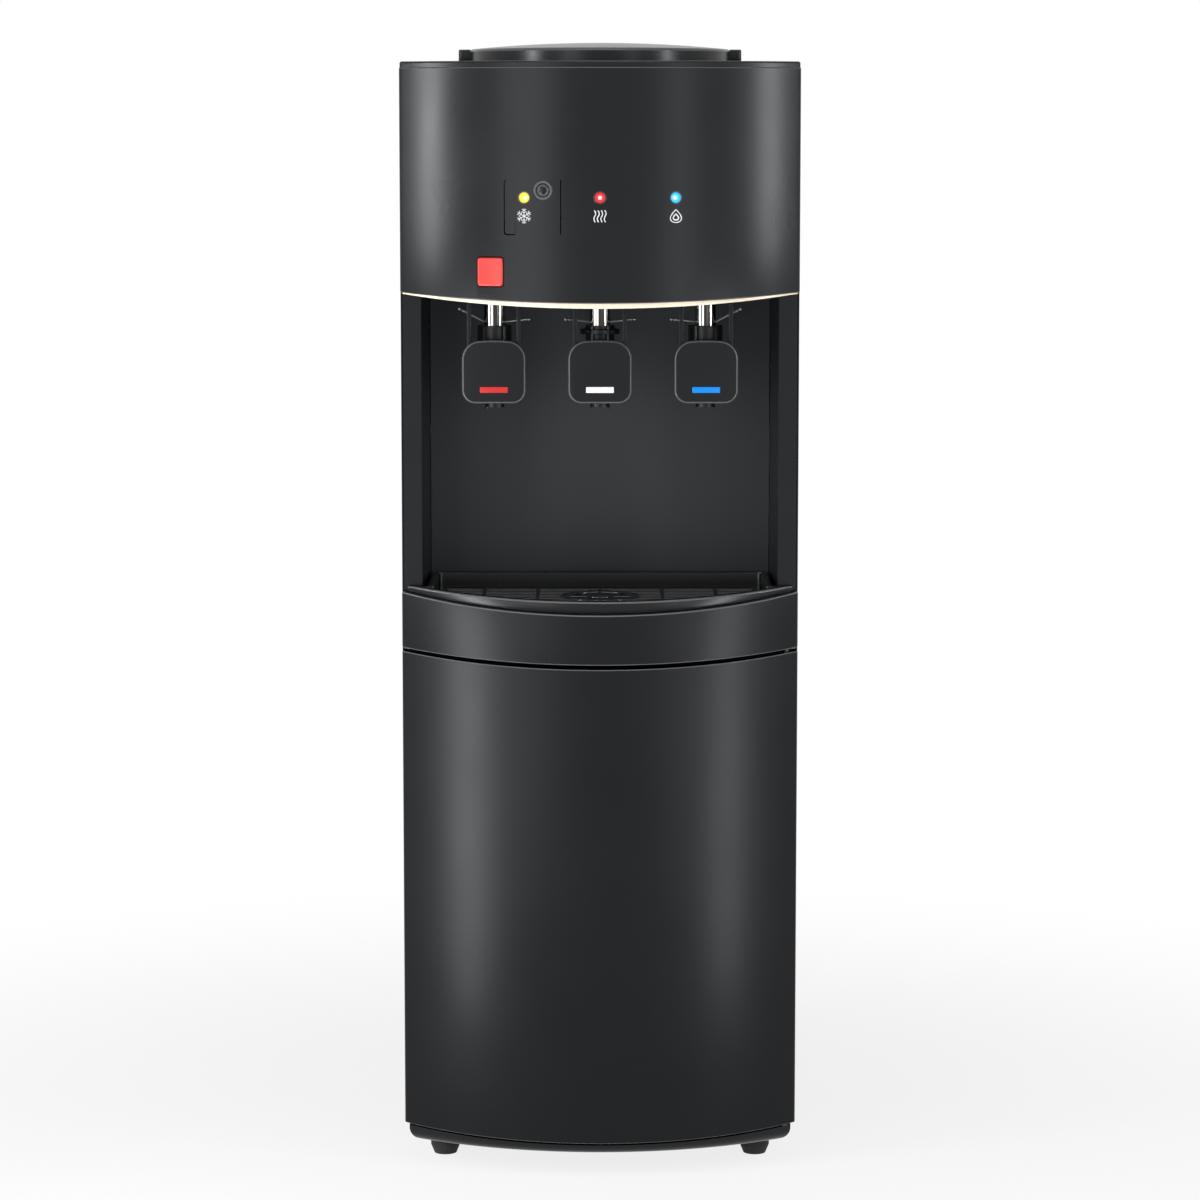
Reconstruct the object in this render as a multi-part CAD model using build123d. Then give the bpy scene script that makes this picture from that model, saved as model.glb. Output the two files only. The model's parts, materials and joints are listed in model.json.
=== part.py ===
from build123d import *
import math
import os

# Free-standing water cooler with a bottle bay behind its lower door.
# Millimetres. Z is up, the front faces -Y, the origin is at floor level in the middle.

# ---- Overall size -------------------------------------------------------------------------
overall_width = 364.0
overall_depth = 368.0
overall_height = 1040.0
front_bow = 57.0            # how far the curved front stands out beyond its side corners
corner_round = 4.5          # small round where the curved front meets the side
sheet = 1.2                 # painted steel sheet
wall = 2.5                  # moulded plastic wall
seat_gap = 0.3              # gap between curved pieces that rest on each other
fit_gap = 0.05              # radial running clearance of a pin in its hole
touch_gap = 0.1             # gap between pieces that stand against each other
cut_over = 1.0              # how far a cutter runs on past the face that it cuts
hole_gap = 0.2              # gap round a lamp or key that stands in a hole

half_width = overall_width / 2
front_y = -overall_depth / 2
rear_y = overall_depth / 2
corner_y = front_y + front_bow
front_radius = (half_width**2 + front_bow**2) / (2 * front_bow)
arc_centre_y = front_y + front_radius

# ---- Heights, stacked down from the lid and up from the floor; the door takes what is left ------
lid_rise = 21.0             # crown of the lid above the underside of the top plate
top_cover_rise = 3.0
head_height = 203.0
bay_height = 269.5
tray_band_gap = 5.1
band_height = 51.4
seam_line = 1.5             # height of the trim line at the side
deck_drop = 0.5
shelf_drop = 2.7
door_gap = 3.3
door_sill_gap = 3.0
head_top_z = overall_height - lid_rise - top_cover_rise
head_bottom_z = head_top_z - head_height
tray_top_z = head_bottom_z - bay_height
band_top_z = tray_top_z - tray_band_gap
band_bottom_z = band_top_z - band_height
foot_height = 22.0
base_height = 14.6
base_top_z = foot_height + base_height
top_plate_z = overall_height - lid_rise
deck_z = head_bottom_z - deck_drop
shelf_z = band_bottom_z - shelf_drop
door_top_z = band_bottom_z - door_gap
door_bottom_z = base_top_z + door_sill_gap

# ---- Seams of the front, each as (height at the side, height at the middle) ------------------
# Every seam is level at the side and runs down towards the middle of the bowed front.
head_dip = 7.7
strip_dip = 11.2
tray_dip = 9.2
band_top_dip = 15.0
band_bottom_dip = 9.3
door_top_dip = 10.0
base_dip = 6.0
head_top = (head_top_z, head_top_z)
head_bottom = (head_bottom_z, head_bottom_z - head_dip)
strip_bottom = (head_bottom_z - seam_line, head_bottom_z - seam_line - strip_dip)
tray_top = (tray_top_z, tray_top_z - tray_dip)
band_top = (band_top_z, band_top_z - band_top_dip)
band_bottom = (band_bottom_z, band_bottom_z - band_bottom_dip)
door_top = (door_top_z, door_top_z - door_top_dip)
door_bottom = (door_bottom_z, door_bottom_z - base_dip)
base_top = (base_top_z, base_top_z - base_dip)
seam_cut = 10.0             # how far a front moulding is drawn past its seams before they trim it

# ---- Cabinet --------------------------------------------------------------------------------
foot_radius = 13.75
foot_sole_radius = 10.5
foot_toe = 8.0
foot_side = 36.0            # centre of a foot inside the cabinet's side
foot_ahead = 43.0           # centre of a front foot behind the front corners
foot_behind = 26.0
condenser_space = 20.0      # behind the rear panel
foot_x = half_width - foot_side
foot_front_y = corner_y + foot_ahead
panel_rear_y = rear_y - condenser_space
foot_rear_y = panel_rear_y - foot_behind
base_inset = 4.0
base_round = 12.0
base_wall = 3.0
base_rib_pitch = 80.0
base_rib_first = 32.0
base_rib_step = 70.0
base_pan = 21.4             # top of the base pan above the feet
panel_setback = 8.0
panel_bottom = foot_height + base_pan
panel_front_y = corner_y + panel_setback
panel_lap = 0.4             # gap between a front moulding and the side panels behind it
flange_width = 14.0
panel_bend = 2.0
frame_setback = 12.4
frame_front_y = corner_y + frame_setback
frame_depth = 12.0
frame_side = 29.0
frame_sill = 14.0
frame_head = 16.0
frame_mouth_round = 12.0
frame_groove = 6.0
shelf_rim = 14.0
side_fit = sheet + seat_gap  # what lies inside the sheet panels keeps this far from the side
bottle_y = 22.0
bottle_rib_radii = (70.0, 100.0, 122.0)
bottle_rib = 3.0
rear_vent_height = 5.0
rear_vent_width = 70.0
rear_vent_pitch = 13.0
rear_vent_rows = 9
rear_vent_rise = 75.0
works_side = 87.0           # middle of the hot tank and of the louvres inside the cabinet's side
rear_vent_x = half_width - works_side
screw_inset = 9.0
screw_margin = 29.0
screw_rows = 5
catch_side = 15.0
catch_x = catch_side - half_width
catch_height = 45.0
catch_half = 5.0
pole_plate = 1.8

# ---- Door -----------------------------------------------------------------------------------
door_sheet = 1.5
door_side_depth = 6.0       # how far the door's sides run back behind the front corners
door_back_y = corner_y + door_side_depth
door_return = 35.0
door_rear_round = 2.5
door_head_gap = 12.2
door_foot_gap = 4.4
door_flange_top = door_top_z - door_head_gap
door_flange_bottom = door_bottom_z + door_foot_gap
door_flange = 1.8
door_rim_margin = 8.0
hinge_side = 10.4
hinge_setback = 0.6
hinge_x = half_width - hinge_side
hinge_y = corner_y + hinge_setback
hinge_pin_radius = 2.0
hinge_plate = 1.4
hinge_plate_radius = 3.4
hinge_plate_half = 7.0
hinge_pin_length = 14.0
liner_side = 25.0
liner_wall = 2.0
liner_rim = 19.0
liner_half = half_width - liner_side
liner_dish_half = liner_half - liner_rim
liner_dish_inset = 14.0
liner_margin = 16.0
liner_round = 8.0
liner_rib = 3.0
liner_rib_reach = 5.0
liner_rib_count = 3

# ---- Dispensing bay -------------------------------------------------------------------------
bay_side = 22.0
jamb_side = 18.5
jamb_tail = 14.0
works_depth = 164.0         # depth behind the bay that the works need
bay_back_bow = 6.0
bay_half = half_width - bay_side
jamb_inner = half_width - jamb_side
bay_back_y = panel_rear_y - works_depth

# ---- Taps and paddles -----------------------------------------------------------------------
tap_side = 85.0             # outer taps inside the cabinet's side
tap_setback = 35.0
tap_pitch = half_width - tap_side
tap_y = corner_y + tap_setback
tap_places = (-tap_pitch, 0.0, tap_pitch)
stem_radius = 9.4
stem_wall = 2.0
stem_rise = 19.5
stem_drop = 30.9
stem_top = deck_z + stem_rise
stem_bottom = deck_z - stem_drop
stem_groove = 1.2
collar_radius = 15.85
collar_height = 14.6
collar_bottom = stem_bottom - collar_height
collar_round = 0.8
mid_collar_radius = 18.3
mid_collar_drop = 3.2
mid_collar_height = 4.8
mid_collar_top = stem_bottom - mid_collar_drop
mid_collar_bottom = mid_collar_top - mid_collar_height
valve_radius = 13.4
valve_height = 39.6
valve_bottom = stem_bottom - valve_height
valve_taper = 6.0
spout_radius = 9.0
spout_bore = 5.0
spout_height = 37.0
spout_bottom = valve_bottom - spout_height
spout_lip = 2.6
bore_depth = 20.0
paddle_width = 58.0
paddle_height = 57.6
paddle_rise = 6.7           # lower edge of a paddle above the end of its spout
paddle_ahead = 34.0         # face of a paddle ahead of its tap
paddle_bottom = spout_bottom + paddle_rise
paddle_front_y = tap_y - paddle_ahead
paddle_depth = 11.0
paddle_wall = 2.0
paddle_crown = 2.0
paddle_top_round = 17.0
paddle_bottom_round = 12.0
paddle_bevel = 1.4
arm_width = 4.0
arm_depth = 6.0
arm_spread = 22.7
arm_root = 8.0              # how far an arm reaches down into the top of its paddle
arm_rib_low = 30.0
arm_rib_high = 7.0
pivot_ahead = 24.0
pivot_rise = 9.5
pivot_y = tap_y - pivot_ahead
pivot_z = deck_z + pivot_rise
pivot_radius = 2.0
trunnion_reach = 3.2
pivot_lug = 3.0
pivot_lug_radius = 5.0
arm_side_gap = 0.6
arm_swing = 1.6
bar_width = 25.4
bar_height = 5.4
bar_rise = 9.7
bar_bottom = paddle_bottom + bar_rise
bar_proud = 0.5
bar_seat = 0.8
bar_gap = 0.03
spring_wire_radius = 0.9
spring_bead_radius = 1.4
spring_ball_radius = 1.7
spring_reach = 33.0
spring_drop = 3.0
spring_rise_high = 13.0
spring_rise_low = 3.0
spring_forward = 11.0

# ---- Controls -------------------------------------------------------------------------------
lamp_rise = 87.0
lamp_z = head_bottom_z + lamp_rise
lamp_pitch = 68.0
lamp_radius = 4.8
lamp_flange = 7.0
lamp_flange_height = 1.6
lamp_pipe_radius = 2.5
lamp_proud = 0.5
insert_left = -85.3
insert_right = -35.7
insert_below = 32.6         # edges of the insert below and above the lamps' height
insert_above = 15.7
insert_bottom = lamp_z - insert_below
insert_top = lamp_z + insert_above
insert_seam = 0.5
round_button_x = -51.0
round_button_rise = 6.5
round_button_z = lamp_z + round_button_rise
round_button_radius = 6.0
round_button_round = 2.6
round_button_depth = 7.0
round_button_travel = 1.5
round_button_proud = 2.6
bezel_radius = 8.6
bezel_proud = 1.0
lock_x = -98.7
lock_rise = 20.3
lock_z = head_bottom_z + lock_rise
lock_width = 24.0
lock_height = 25.6
lock_round = 2.6
lock_edge = 0.9
lock_gap = 1.0
lock_depth = 14.0
lock_proud = 1.6
lock_wall = 2.0
sleeve_start = 1.5
board_setback = 24.0
board_margin = 22.0
board_y = front_y + board_setback
board_thickness = 1.6
board_half = lamp_pitch + board_margin
board_rise = 18.0
board_drop = 20.0
board_post = 4.0
board_chip = 6.0
board_chip_places = (-62.0, -20.0, 30.0, 75.0)

# ---- Drip tray ------------------------------------------------------------------------------
tray_inset = 5.0
tray_floor_rise = 18.0
tray_back_gap = 5.0
tray_floor_z = band_bottom_z + tray_floor_rise
tray_back_y = bay_back_y - tray_back_gap
tray_side_gap = 1.0
grille_drop = 13.5
grille_z = tray_top_z - grille_drop
grille_plate = 2.4
grille_gap = 0.6
grille_ledge = 4.0
tray_rim = 4.0
slot_pitch = 12.0
slot_width = 5.4
slot_margin = 9.0
bridge_width = 4.5
bridge_places = (58.0, 108.0)
ring_behind_tap = 6.0
ring_centre_y = tap_y + ring_behind_tap
ring_outer = 37.0
ring_hole_outer = 29.0
ring_hole_inner = 13.0
ring_spokes = 8
ring_spoke_width = 4.0
carrier_inset = 8.5
carrier_wall = 3.0
carrier_rib = 2.4
carrier_rib_pitch = 60.0

# ---- Lid and reservoir ----------------------------------------------------------------------
cover_inset = 0.6
cover_edge_round = 2.0
bowl_radius = 114.0
lid_lap = 8.0
lid_centre_y = -8.0
lid_radius = bowl_radius + lid_lap
lid_skirt = 12.3
lid_edge_round = 3.0
lid_plug = 7.0
lid_plug_gap = 1.5
lid_lug_reach = 9.5
lid_lug_width = 30.0
well_hole_step = 1.0
well_hole_radius = bowl_radius - well_hole_step
bowl_flange_reach = 5.0
bowl_flange_radius = bowl_radius + bowl_flange_reach
bowl_flange = 3.0
bowl_depth = 34.0
bowl_slope = 12.0
bowl_funnel = 14.0
bowl_funnel_inset = 20.0
neck_radius = 12.0
neck_bore = 8.0

# ---- Works inside ---------------------------------------------------------------------------
tank_wall = 1.0
foam_wall = 15.0
tank_y = 20.0
tank_radius = 76.0
tank_floor = foam_wall + wall
tank_bottom = deck_z + tank_floor
tank_height = 108.0
tank_top = tank_bottom + tank_height
tank_end_round = 8.0
tank_bead = 2.0
foam_step = 6.0
works_behind = 82.0         # middle of the hot tank and the compressor ahead of the rear panel
hot_x = works_side - half_width
hot_y = panel_rear_y - works_behind
hot_radius = 50.0
hot_height = 165.0
hot_end_round = 14.0
hot_seam_rise = 80.0
hot_seam_width = 4.0
hot_seam = 1.5
hot_leg_radius = 4.0
hot_leg_inset = 16.0
hot_pipe_radius = 5.0
hot_pipe_offset = 20.0
leg_height = 12.0
compressor_side = 98.0
compressor_x = half_width - compressor_side
compressor_y = hot_y
compressor_radius = 56.0
compressor_height = 145.0
compressor_core_wall = 14.0  # shell and motor together; what is left inside is free space
compressor_foot_x = 62.0
compressor_foot_y = 56.0
compressor_foot = 2.5
mount_height = 10.0
mount_radius = 8.0
mount_waist = 1.8
mount_spread = 46.0
pump_x = -8.0
pump_behind = 36.0
pump_y = hot_y + pump_behind
pump_radius = 17.0
pump_length = 62.0
pump_head_half = 21.0
pump_foot_half = 14.0
hose_radius = 4.0
probe_side = 30.0
probe_ahead = 36.0
probe_radius = 7.0
probe_rise = 52.6
probe_cap_drop = 89.3
probe_x = half_width - probe_side
probe_y = panel_rear_y - probe_ahead
probe_bottom = panel_bottom + probe_rise
probe_cap_z = shelf_z - probe_cap_drop
probe_cap_radius = 22.0
probe_cap_height = 22.0
probe_cap_grips = 18
probe_hole_radius = 2.2
probe_hole_pitch = 12.0
probe_holes = 3
holder_thickness = 3.0
holder_half = 16.0
holder_drop = 34.0

# ---- Rear -----------------------------------------------------------------------------------
rear_fitting_side = 52.0    # middle of the mains inlet and of the switches inside the side
inlet_rise = 15.7
inlet_x = half_width - rear_fitting_side
inlet_z = shelf_z + inlet_rise
inlet_radius = 9.0
drain_rise = 39.7
drain_x = hot_x
drain_z = shelf_z + drain_rise
drain_radius = 7.0
drain_cap_grips = 12
switch_drop = 44.0
switch_z = top_plate_z - switch_drop
switch_pitch = 26.0
switch_centre_x = inlet_x
switch_half_x = 7.0
switch_half_z = 10.0
condenser_tube_radius = 2.5
condenser_wire_radius = 0.8
condenser_side = 42.0
condenser_rise = 60.7
condenser_half = half_width - condenser_side
condenser_bottom = shelf_z + condenser_rise
condenser_pitch = 32.0
condenser_passes = 13
condenser_wire_pitch = 20.0
condenser_wire_overhang = 12.0
condenser_y = rear_y - 2 * condenser_wire_radius - condenser_tube_radius


# ---- Helpers --------------------------------------------------------------------------------
def block(x0, x1, y0, y1, z0, z1):
    """Box between two corners."""
    middle = ((x0 + x1) / 2, (y0 + y1) / 2, (z0 + z1) / 2)
    return Pos(*middle) * Box(x1 - x0, y1 - y0, z1 - z0)


def post(radius, x, y, z0, z1):
    """Upright cylinder between two heights."""
    return Pos(x, y, (z0 + z1) / 2) * Cylinder(radius, z1 - z0)


def rod_x(radius, x0, x1, y, z):
    """Cylinder lying along X."""
    return Pos((x0 + x1) / 2, y, z) * Rot(0, 90, 0) * Cylinder(radius, x1 - x0)


def rod_y(radius, x, y0, y1, z):
    """Cylinder lying along Y."""
    return Pos(x, (y0 + y1) / 2, z) * Rot(90, 0, 0) * Cylinder(radius, y1 - y0)


def one(shape):
    """The single solid of a result."""
    solids = shape.solids()
    return solids[0] if len(solids) == 1 else Compound(solids)


def bow_y(x, inset=0.0):
    """Y of the bowed front, moved inwards by inset, at a given x."""
    return arc_centre_y - math.sqrt((front_radius - inset) ** 2 - x**2)


def front_outline(inset, back_y, round_radius=None):
    """Plan of the cabinet: bowed front, straight sides, straight back."""
    half = half_width - inset
    side_y = bow_y(half, inset)
    bow = ThreePointArc((-half, side_y), (0, bow_y(0, inset)), (half, side_y))
    rest = Polyline((half, side_y), (half, back_y), (-half, back_y), (-half, side_y))
    face = make_face(Curve() + [bow, rest])
    corners = [v for v in face.vertices() if abs(v.Y - side_y) < 0.01]
    return fillet(corners, max(corner_round - inset, 0.6) if round_radius is None else round_radius)


def plan_solid(inset, back_y, z0, z1):
    """Upright solid on the cabinet's plan."""
    return extrude(Pos(0, 0, z0) * front_outline(inset, back_y), z1 - z0)


def front_shell(inset, thickness, back_y, z0, z1):
    """Bowed front skin with its two side returns, open at the back."""
    return plan_solid(inset, back_y, z0, z1) - plan_solid(inset + thickness, back_y + 1, z0 - 1, z1 + 1)


def seam_band(low, high, back_y=front_y + overall_depth):
    """Everything between two seams, as a prism along X."""
    reach = 3.0
    dip_low = low[1] - (low[0] - low[1]) * reach / front_bow
    dip_high = high[1] - (high[0] - high[1]) * reach / front_bow
    points = [
        (front_y - reach, dip_low),
        (corner_y, low[0]),
        (back_y, low[0]),
        (back_y, high[0]),
        (corner_y, high[0]),
        (front_y - reach, dip_high),
    ]
    face = make_face(Plane.YZ * Polyline(points, close=True))
    return extrude(face, half_width + 5, both=True)


def on_front(x, z):
    """Place on the bowed front where local -Y is the outward direction."""
    return Location((x, bow_y(x), z), (0, 0, math.degrees(math.asin(x / front_radius))))


def lowered(seam, drop):
    """A seam moved straight down."""
    return (seam[0] - drop, seam[1] - drop)


# ---- Cabinet pieces -------------------------------------------------------------------------
def make_feet():
    half_sole = foot_sole_radius
    profile = make_face(
        Plane.XZ
        * Polyline(
            [
                (0, 0),
                (half_sole, 0),
                (foot_radius, foot_toe),
                (foot_radius, foot_height - 6),
                (foot_radius - 3, foot_height),
                (0, foot_height),
            ],
            close=True,
        )
    )
    foot = revolve(profile, Axis.Z)
    places = [(sx * foot_x, y) for sx in (-1, 1) for y in (foot_front_y, foot_rear_y)]
    return Compound([one(Pos(x, y, 0) * foot) for x, y in places])


def make_base_frame():
    """Moulded base pan: rounded lower edge, ribs below, a front lip under the door."""
    top = panel_bottom - touch_gap
    under = foot_height - cut_over
    outer = plan_solid(base_inset, panel_rear_y - sheet - 0.5, foot_height, top)
    lower_edges = outer.edges().group_by(Axis.Z)[0]
    outer = fillet(lower_edges, base_round)
    back = frame_front_y
    lip = seam_band((under, under), base_top)
    ahead = block(-half_width, half_width, front_y - cut_over, back, under, top + cut_over)
    body = (outer & lip & ahead) + (outer - ahead)
    inner = plan_solid(base_inset + base_wall, foot_rear_y + 16, foot_height + base_wall, top - base_wall)
    inner = fillet(inner.edges().group_by(Axis.Z)[0], base_round - base_wall)
    behind = block(-half_width, half_width, back + base_wall, panel_rear_y, 0, top)
    hollow = inner & (seam_band((0, 0), lowered(base_top, base_wall)) + behind)
    mouth_inset = base_inset + base_round + base_wall
    hollow += plan_solid(mouth_inset, foot_rear_y + 6, under, foot_height + base_wall + cut_over)
    for x in (-base_rib_pitch, 0.0, base_rib_pitch):
        hollow -= block(x - base_wall / 2, x + base_wall / 2, front_y, panel_rear_y, 0, top)
    for row in range(3):
        y = foot_front_y + base_rib_first + row * base_rib_step
        hollow -= block(-half_width, half_width, y, y + base_wall, 0, top)
    for sx in (-1, 1):
        for y in (foot_front_y, foot_rear_y):
            hollow -= post(foot_radius + 2, sx * foot_x, y, 0, top)
    return one(body - hollow)


def make_side_panel(side):
    """Folded sheet side with flanges at the top, the bottom and the rear."""
    top = head_top[0]
    outer = block(half_width - flange_width, half_width, panel_front_y, panel_rear_y, panel_bottom, top)
    bends = outer.edges().filter_by(Axis.Z).sort_by(Axis.X)[2:].sort_by(Axis.Y)[-1]
    outer = fillet(bends, panel_bend)
    inner = block(
        half_width - flange_width - 1,
        half_width - sheet,
        panel_front_y - 1,
        panel_rear_y - sheet,
        panel_bottom + sheet,
        top - sheet,
    )
    panel = outer - inner
    relief = block(0, half_width - sheet, panel_front_y - cut_over, frame_front_y + frame_depth + 2, 0, top)
    head_relief = block(0, half_width - sheet, panel_front_y - 1, panel_front_y + 30, 0, top + 1)
    panel = panel - relief - head_relief
    return one(panel if side > 0 else panel.mirror(Plane.YZ))


def make_rear_panel():
    """Sheet back with louvre slots beside the warm works."""
    half = half_width - 3
    panel = block(-half, half, panel_rear_y, panel_rear_y + sheet, panel_bottom + 3, top_plate_z - 3)
    for sx in (-1, 1):
        for row in range(rear_vent_rows):
            z = shelf_z + rear_vent_rise + row * rear_vent_pitch
            slot = SlotOverall(rear_vent_width, rear_vent_height)
            cut = extrude(Plane.XZ * slot, 20, both=True)
            panel -= Pos(sx * rear_vent_x, panel_rear_y, z) * cut
    y0, y1 = panel_rear_y - cut_over, panel_rear_y + sheet + cut_over
    for x, z in switch_places():
        panel -= block(x - switch_half_x, x + switch_half_x, y0, y1, z - switch_half_z, z + switch_half_z)
    panel -= rod_y(inlet_radius, inlet_x, y0, y1, inlet_z)
    panel -= rod_y(drain_radius + seat_gap, drain_x, y0, y1, drain_z)
    for stand_off in condenser_stand_offs():
        panel += stand_off
    return one(panel)


def switch_places():
    """Centres of the two rear rocker switches."""
    return [(switch_centre_x + s * switch_pitch / 2, switch_z) for s in (-1, 1)]


def make_rear_screws():
    """Pan heads round the edge of the rear panel."""
    y = panel_rear_y + sheet
    low = panel_bottom + screw_margin + 7
    pitch = (top_plate_z - screw_margin - low) / (screw_rows - 1)
    heads = []
    for sx in (-1, 1):
        for row in range(screw_rows):
            place = Pos(sx * (half_width - screw_inset), y + 1, low + row * pitch)
            head = place * Rot(90, 0, 0) * Cone(2.2, 3.8, 2.0)
            heads.append(one(head))
    return Compound(heads)


def make_door_frame():
    """Moulded frame round the mouth of the bottle bay, with a stiffening groove."""
    half = half_width - side_fit
    y0, y1 = frame_front_y, frame_front_y + frame_depth
    z0, z1 = panel_bottom + sheet + touch_gap, shelf_z
    frame = block(-half, half, y0, y1, z0, z1)
    mouth_half = half - frame_side
    mouth = block(-mouth_half, mouth_half, y0 - 1, y1 + 1, z0 + frame_sill, z1 - frame_head)
    mouth = fillet(mouth.edges().filter_by(Axis.Y), frame_mouth_round)
    frame -= mouth
    groove_out = half - frame_groove
    groove_in = mouth_half + 8
    groove = block(-groove_out, groove_out, y1 - frame_groove, y1 + cut_over, z0 + 4, z1 - 5)
    groove -= block(-groove_in, groove_in, y0, y1 + 2, z0 + frame_sill - 4, z1 - frame_head + 5)
    return one(frame - groove)


def hinge_plate_at(z0, z1, back_y):
    """Small plate with a round nose under or over the door's pin."""
    plate = block(
        hinge_x - hinge_plate_half, hinge_x + hinge_plate_radius, hinge_y, back_y, z0, z1
    )
    return plate + post(hinge_plate_radius, hinge_x, hinge_y, z0, z1)


def make_hinge_brackets():
    low0 = base_top[0]
    low1 = low0 + hinge_plate
    lower = hinge_plate_at(low0, low1, frame_front_y - touch_gap)
    lower += post(hinge_pin_radius, hinge_x, hinge_y, low1, low1 + hinge_pin_length)
    up0 = shelf_z + sheet
    up1 = up0 + hinge_plate
    upper = hinge_plate_at(up0, up1, frame_front_y + 20)
    upper += post(hinge_pin_radius, hinge_x, hinge_y, up0 - hinge_pin_length - 4, up0)
    return Compound([one(lower), one(upper)])


def make_catch_magnet():
    """Magnetic catch on the frame's left upright, with two pole plates."""
    x = catch_x
    y1 = frame_front_y
    y0 = door_back_y + 0.5
    z0 = (door_bottom[0] + door_top[0]) / 2 + 23.35
    z1 = z0 + catch_height
    case = block(x - catch_half, x + catch_half, y0 + 1, y1, z0, z1)
    case = fillet(case.edges().filter_by(Axis.Y), 2)
    for pole_x in (x - 2.5, x + 2.5):
        half = pole_plate / 2
        case += block(pole_x - half, pole_x + half, y0, y0 + 2, z0 + catch_half, z1 - catch_half)
    return one(case)


def make_bottle_floor():
    """Moulded floor of the bottle bay with ribs that centre the bottle."""
    half = half_width - side_fit
    z0 = panel_bottom + sheet + touch_gap
    y0 = frame_front_y + frame_depth + 0.2
    floor = block(-half, half, y0, panel_rear_y - side_fit, z0, z0 + 3)
    for radius in bottle_rib_radii:
        rib = Cylinder(radius + bottle_rib / 2, 4) - Cylinder(radius - bottle_rib / 2, 6)
        floor += Pos(0, bottle_y, z0 + 4.5) * rib
    return one(floor)


def make_machine_shelf():
    """Folded steel shelf over the bottle bay that carries the works."""
    half = half_width - side_fit
    y0 = frame_front_y
    y1 = panel_rear_y - side_fit
    rim_y = frame_front_y + frame_depth + 1
    rim_z = shelf_z - shelf_rim
    shelf = block(-half, half, y0, y1, shelf_z, shelf_z + sheet)
    for sx in (-1, 1):
        x = sx * (half - sheet / 2)
        shelf += block(x - sheet / 2, x + sheet / 2, rim_y, y1, rim_z, shelf_z)
    shelf += block(-half, half, y1 - sheet, y1, rim_z, shelf_z)
    shelf -= post(hose_radius + 3, probe_x, probe_y + 3, shelf_z - 5, shelf_z + 5)
    return one(shelf)


# ---- Front mouldings ------------------------------------------------------------------------
def make_band_fascia():
    """Bowed band under the drip tray, with an inward lip along its top."""
    back = panel_front_y - panel_lap
    z0, z1 = band_bottom[1] - seam_cut, band_top[0] + seam_cut
    skin = front_shell(0, wall, back, z0, z1)
    skin &= seam_band(band_bottom, band_top)
    lip = front_shell(wall - 0.5, 5.0, back, z0, z1)
    lip &= seam_band(lowered(band_top, 2.0), band_top)
    tongue = front_shell(side_fit, 2.0, frame_front_y + 8, shelf_z + sheet + 2, band_top[0] - 3)
    tongue &= block(-half_width, half_width, back - 8, frame_front_y + 8, 0, band_top[0])
    return one(skin + lip + tongue)


def make_head_cover():
    """Bowed cover of the head with windows for the lamps, the insert and the lock button."""
    back = panel_front_y - panel_lap
    z0, z1 = head_bottom[1] - seam_cut, head_top[0] + seam_cut
    skin = front_shell(0, wall, back, z0, z1) & seam_band(head_bottom, head_top)
    lip = front_shell(wall - 0.5, 5.0, back, z0, z1)
    lip &= seam_band(head_bottom, (head_bottom[0] + 2, head_bottom[1] + 2))
    tongue = front_shell(side_fit, 2.0, panel_front_y + 10, deck_z + 6, head_top[0] - 4)
    tongue &= block(-half_width, half_width, back - 8, panel_front_y + 10, 0, head_top[0])
    cover = skin + lip + tongue
    cover -= window_cutter(insert_seam)
    for x in (0.0, lamp_pitch):
        cover -= lamp_hole(x)
    lock = on_front(lock_x, lock_z)
    sleeve_x = lock_width / 2 + lock_gap + lock_wall
    sleeve_z = lock_height / 2 + lock_gap + lock_wall
    sleeve = block(-sleeve_x, sleeve_x, sleeve_start, lock_depth - 2, -sleeve_z, sleeve_z)
    cover += lock * sleeve
    cover -= lock * lock_prism(lock_gap, -6, 6)
    cover -= lock * lock_prism(seat_gap, 4, lock_depth + 6)
    return one(cover)


def window_cutter(grow):
    """Straight-through cutter of the insert's window."""
    x0, x1 = insert_left - grow, insert_right + grow
    return block(x0, x1, front_y - cut_over, board_y - 2, insert_bottom - grow, insert_top + grow)


def lamp_hole(x):
    """Cutter of the hole that a lamp's nose stands in."""
    return on_front(x, lamp_z) * rod_y(lamp_radius + hole_gap, 0, -5, 12, 0)


def lock_prism(grow, y0, y1):
    """Rounded square prism along local Y of the lock button's size plus a margin."""
    width = lock_width + 2 * grow
    height = lock_height + 2 * grow
    face = Plane.XZ * RectangleRounded(width, height, lock_round)
    return Pos(0, y1, 0) * extrude(face, y1 - y0)


def make_switch_insert():
    """Separate insert flush in the head cover: carries one lamp and the round button."""
    back = panel_front_y
    skin = front_shell(0, wall, back, insert_bottom - cut_over, insert_top + cut_over) & window_cutter(0)
    place = on_front(round_button_x, round_button_z)
    bezel = rod_y(bezel_radius, 0, -bezel_proud, wall, 0)
    insert = skin + place * bezel
    insert -= place * rod_y(round_button_radius + hole_gap, 0, -5, 8, 0)
    insert -= lamp_hole(-lamp_pitch)
    return one(insert)


def make_lamp(x):
    """Round lens with a domed nose and a flange behind the skin."""
    lens = rod_y(lamp_radius, 0, -lamp_proud, wall + 0.5, 0)
    front_edge = lens.edges().sort_by(Axis.Y)[0]
    lens = fillet(front_edge, lamp_proud * 0.9)
    flange_y = wall + lamp_flange_height
    lens += rod_y(lamp_flange, 0, flange_y - lamp_flange_height + 0.4, flange_y + 0.4, 0)
    depth = (board_y - bow_y(x) - touch_gap) / math.cos(math.asin(x / front_radius))
    lens += rod_y(lamp_pipe_radius, 0, flange_y, depth - 1.0, 0)
    return one(on_front(x, lamp_z) * lens)


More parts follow.
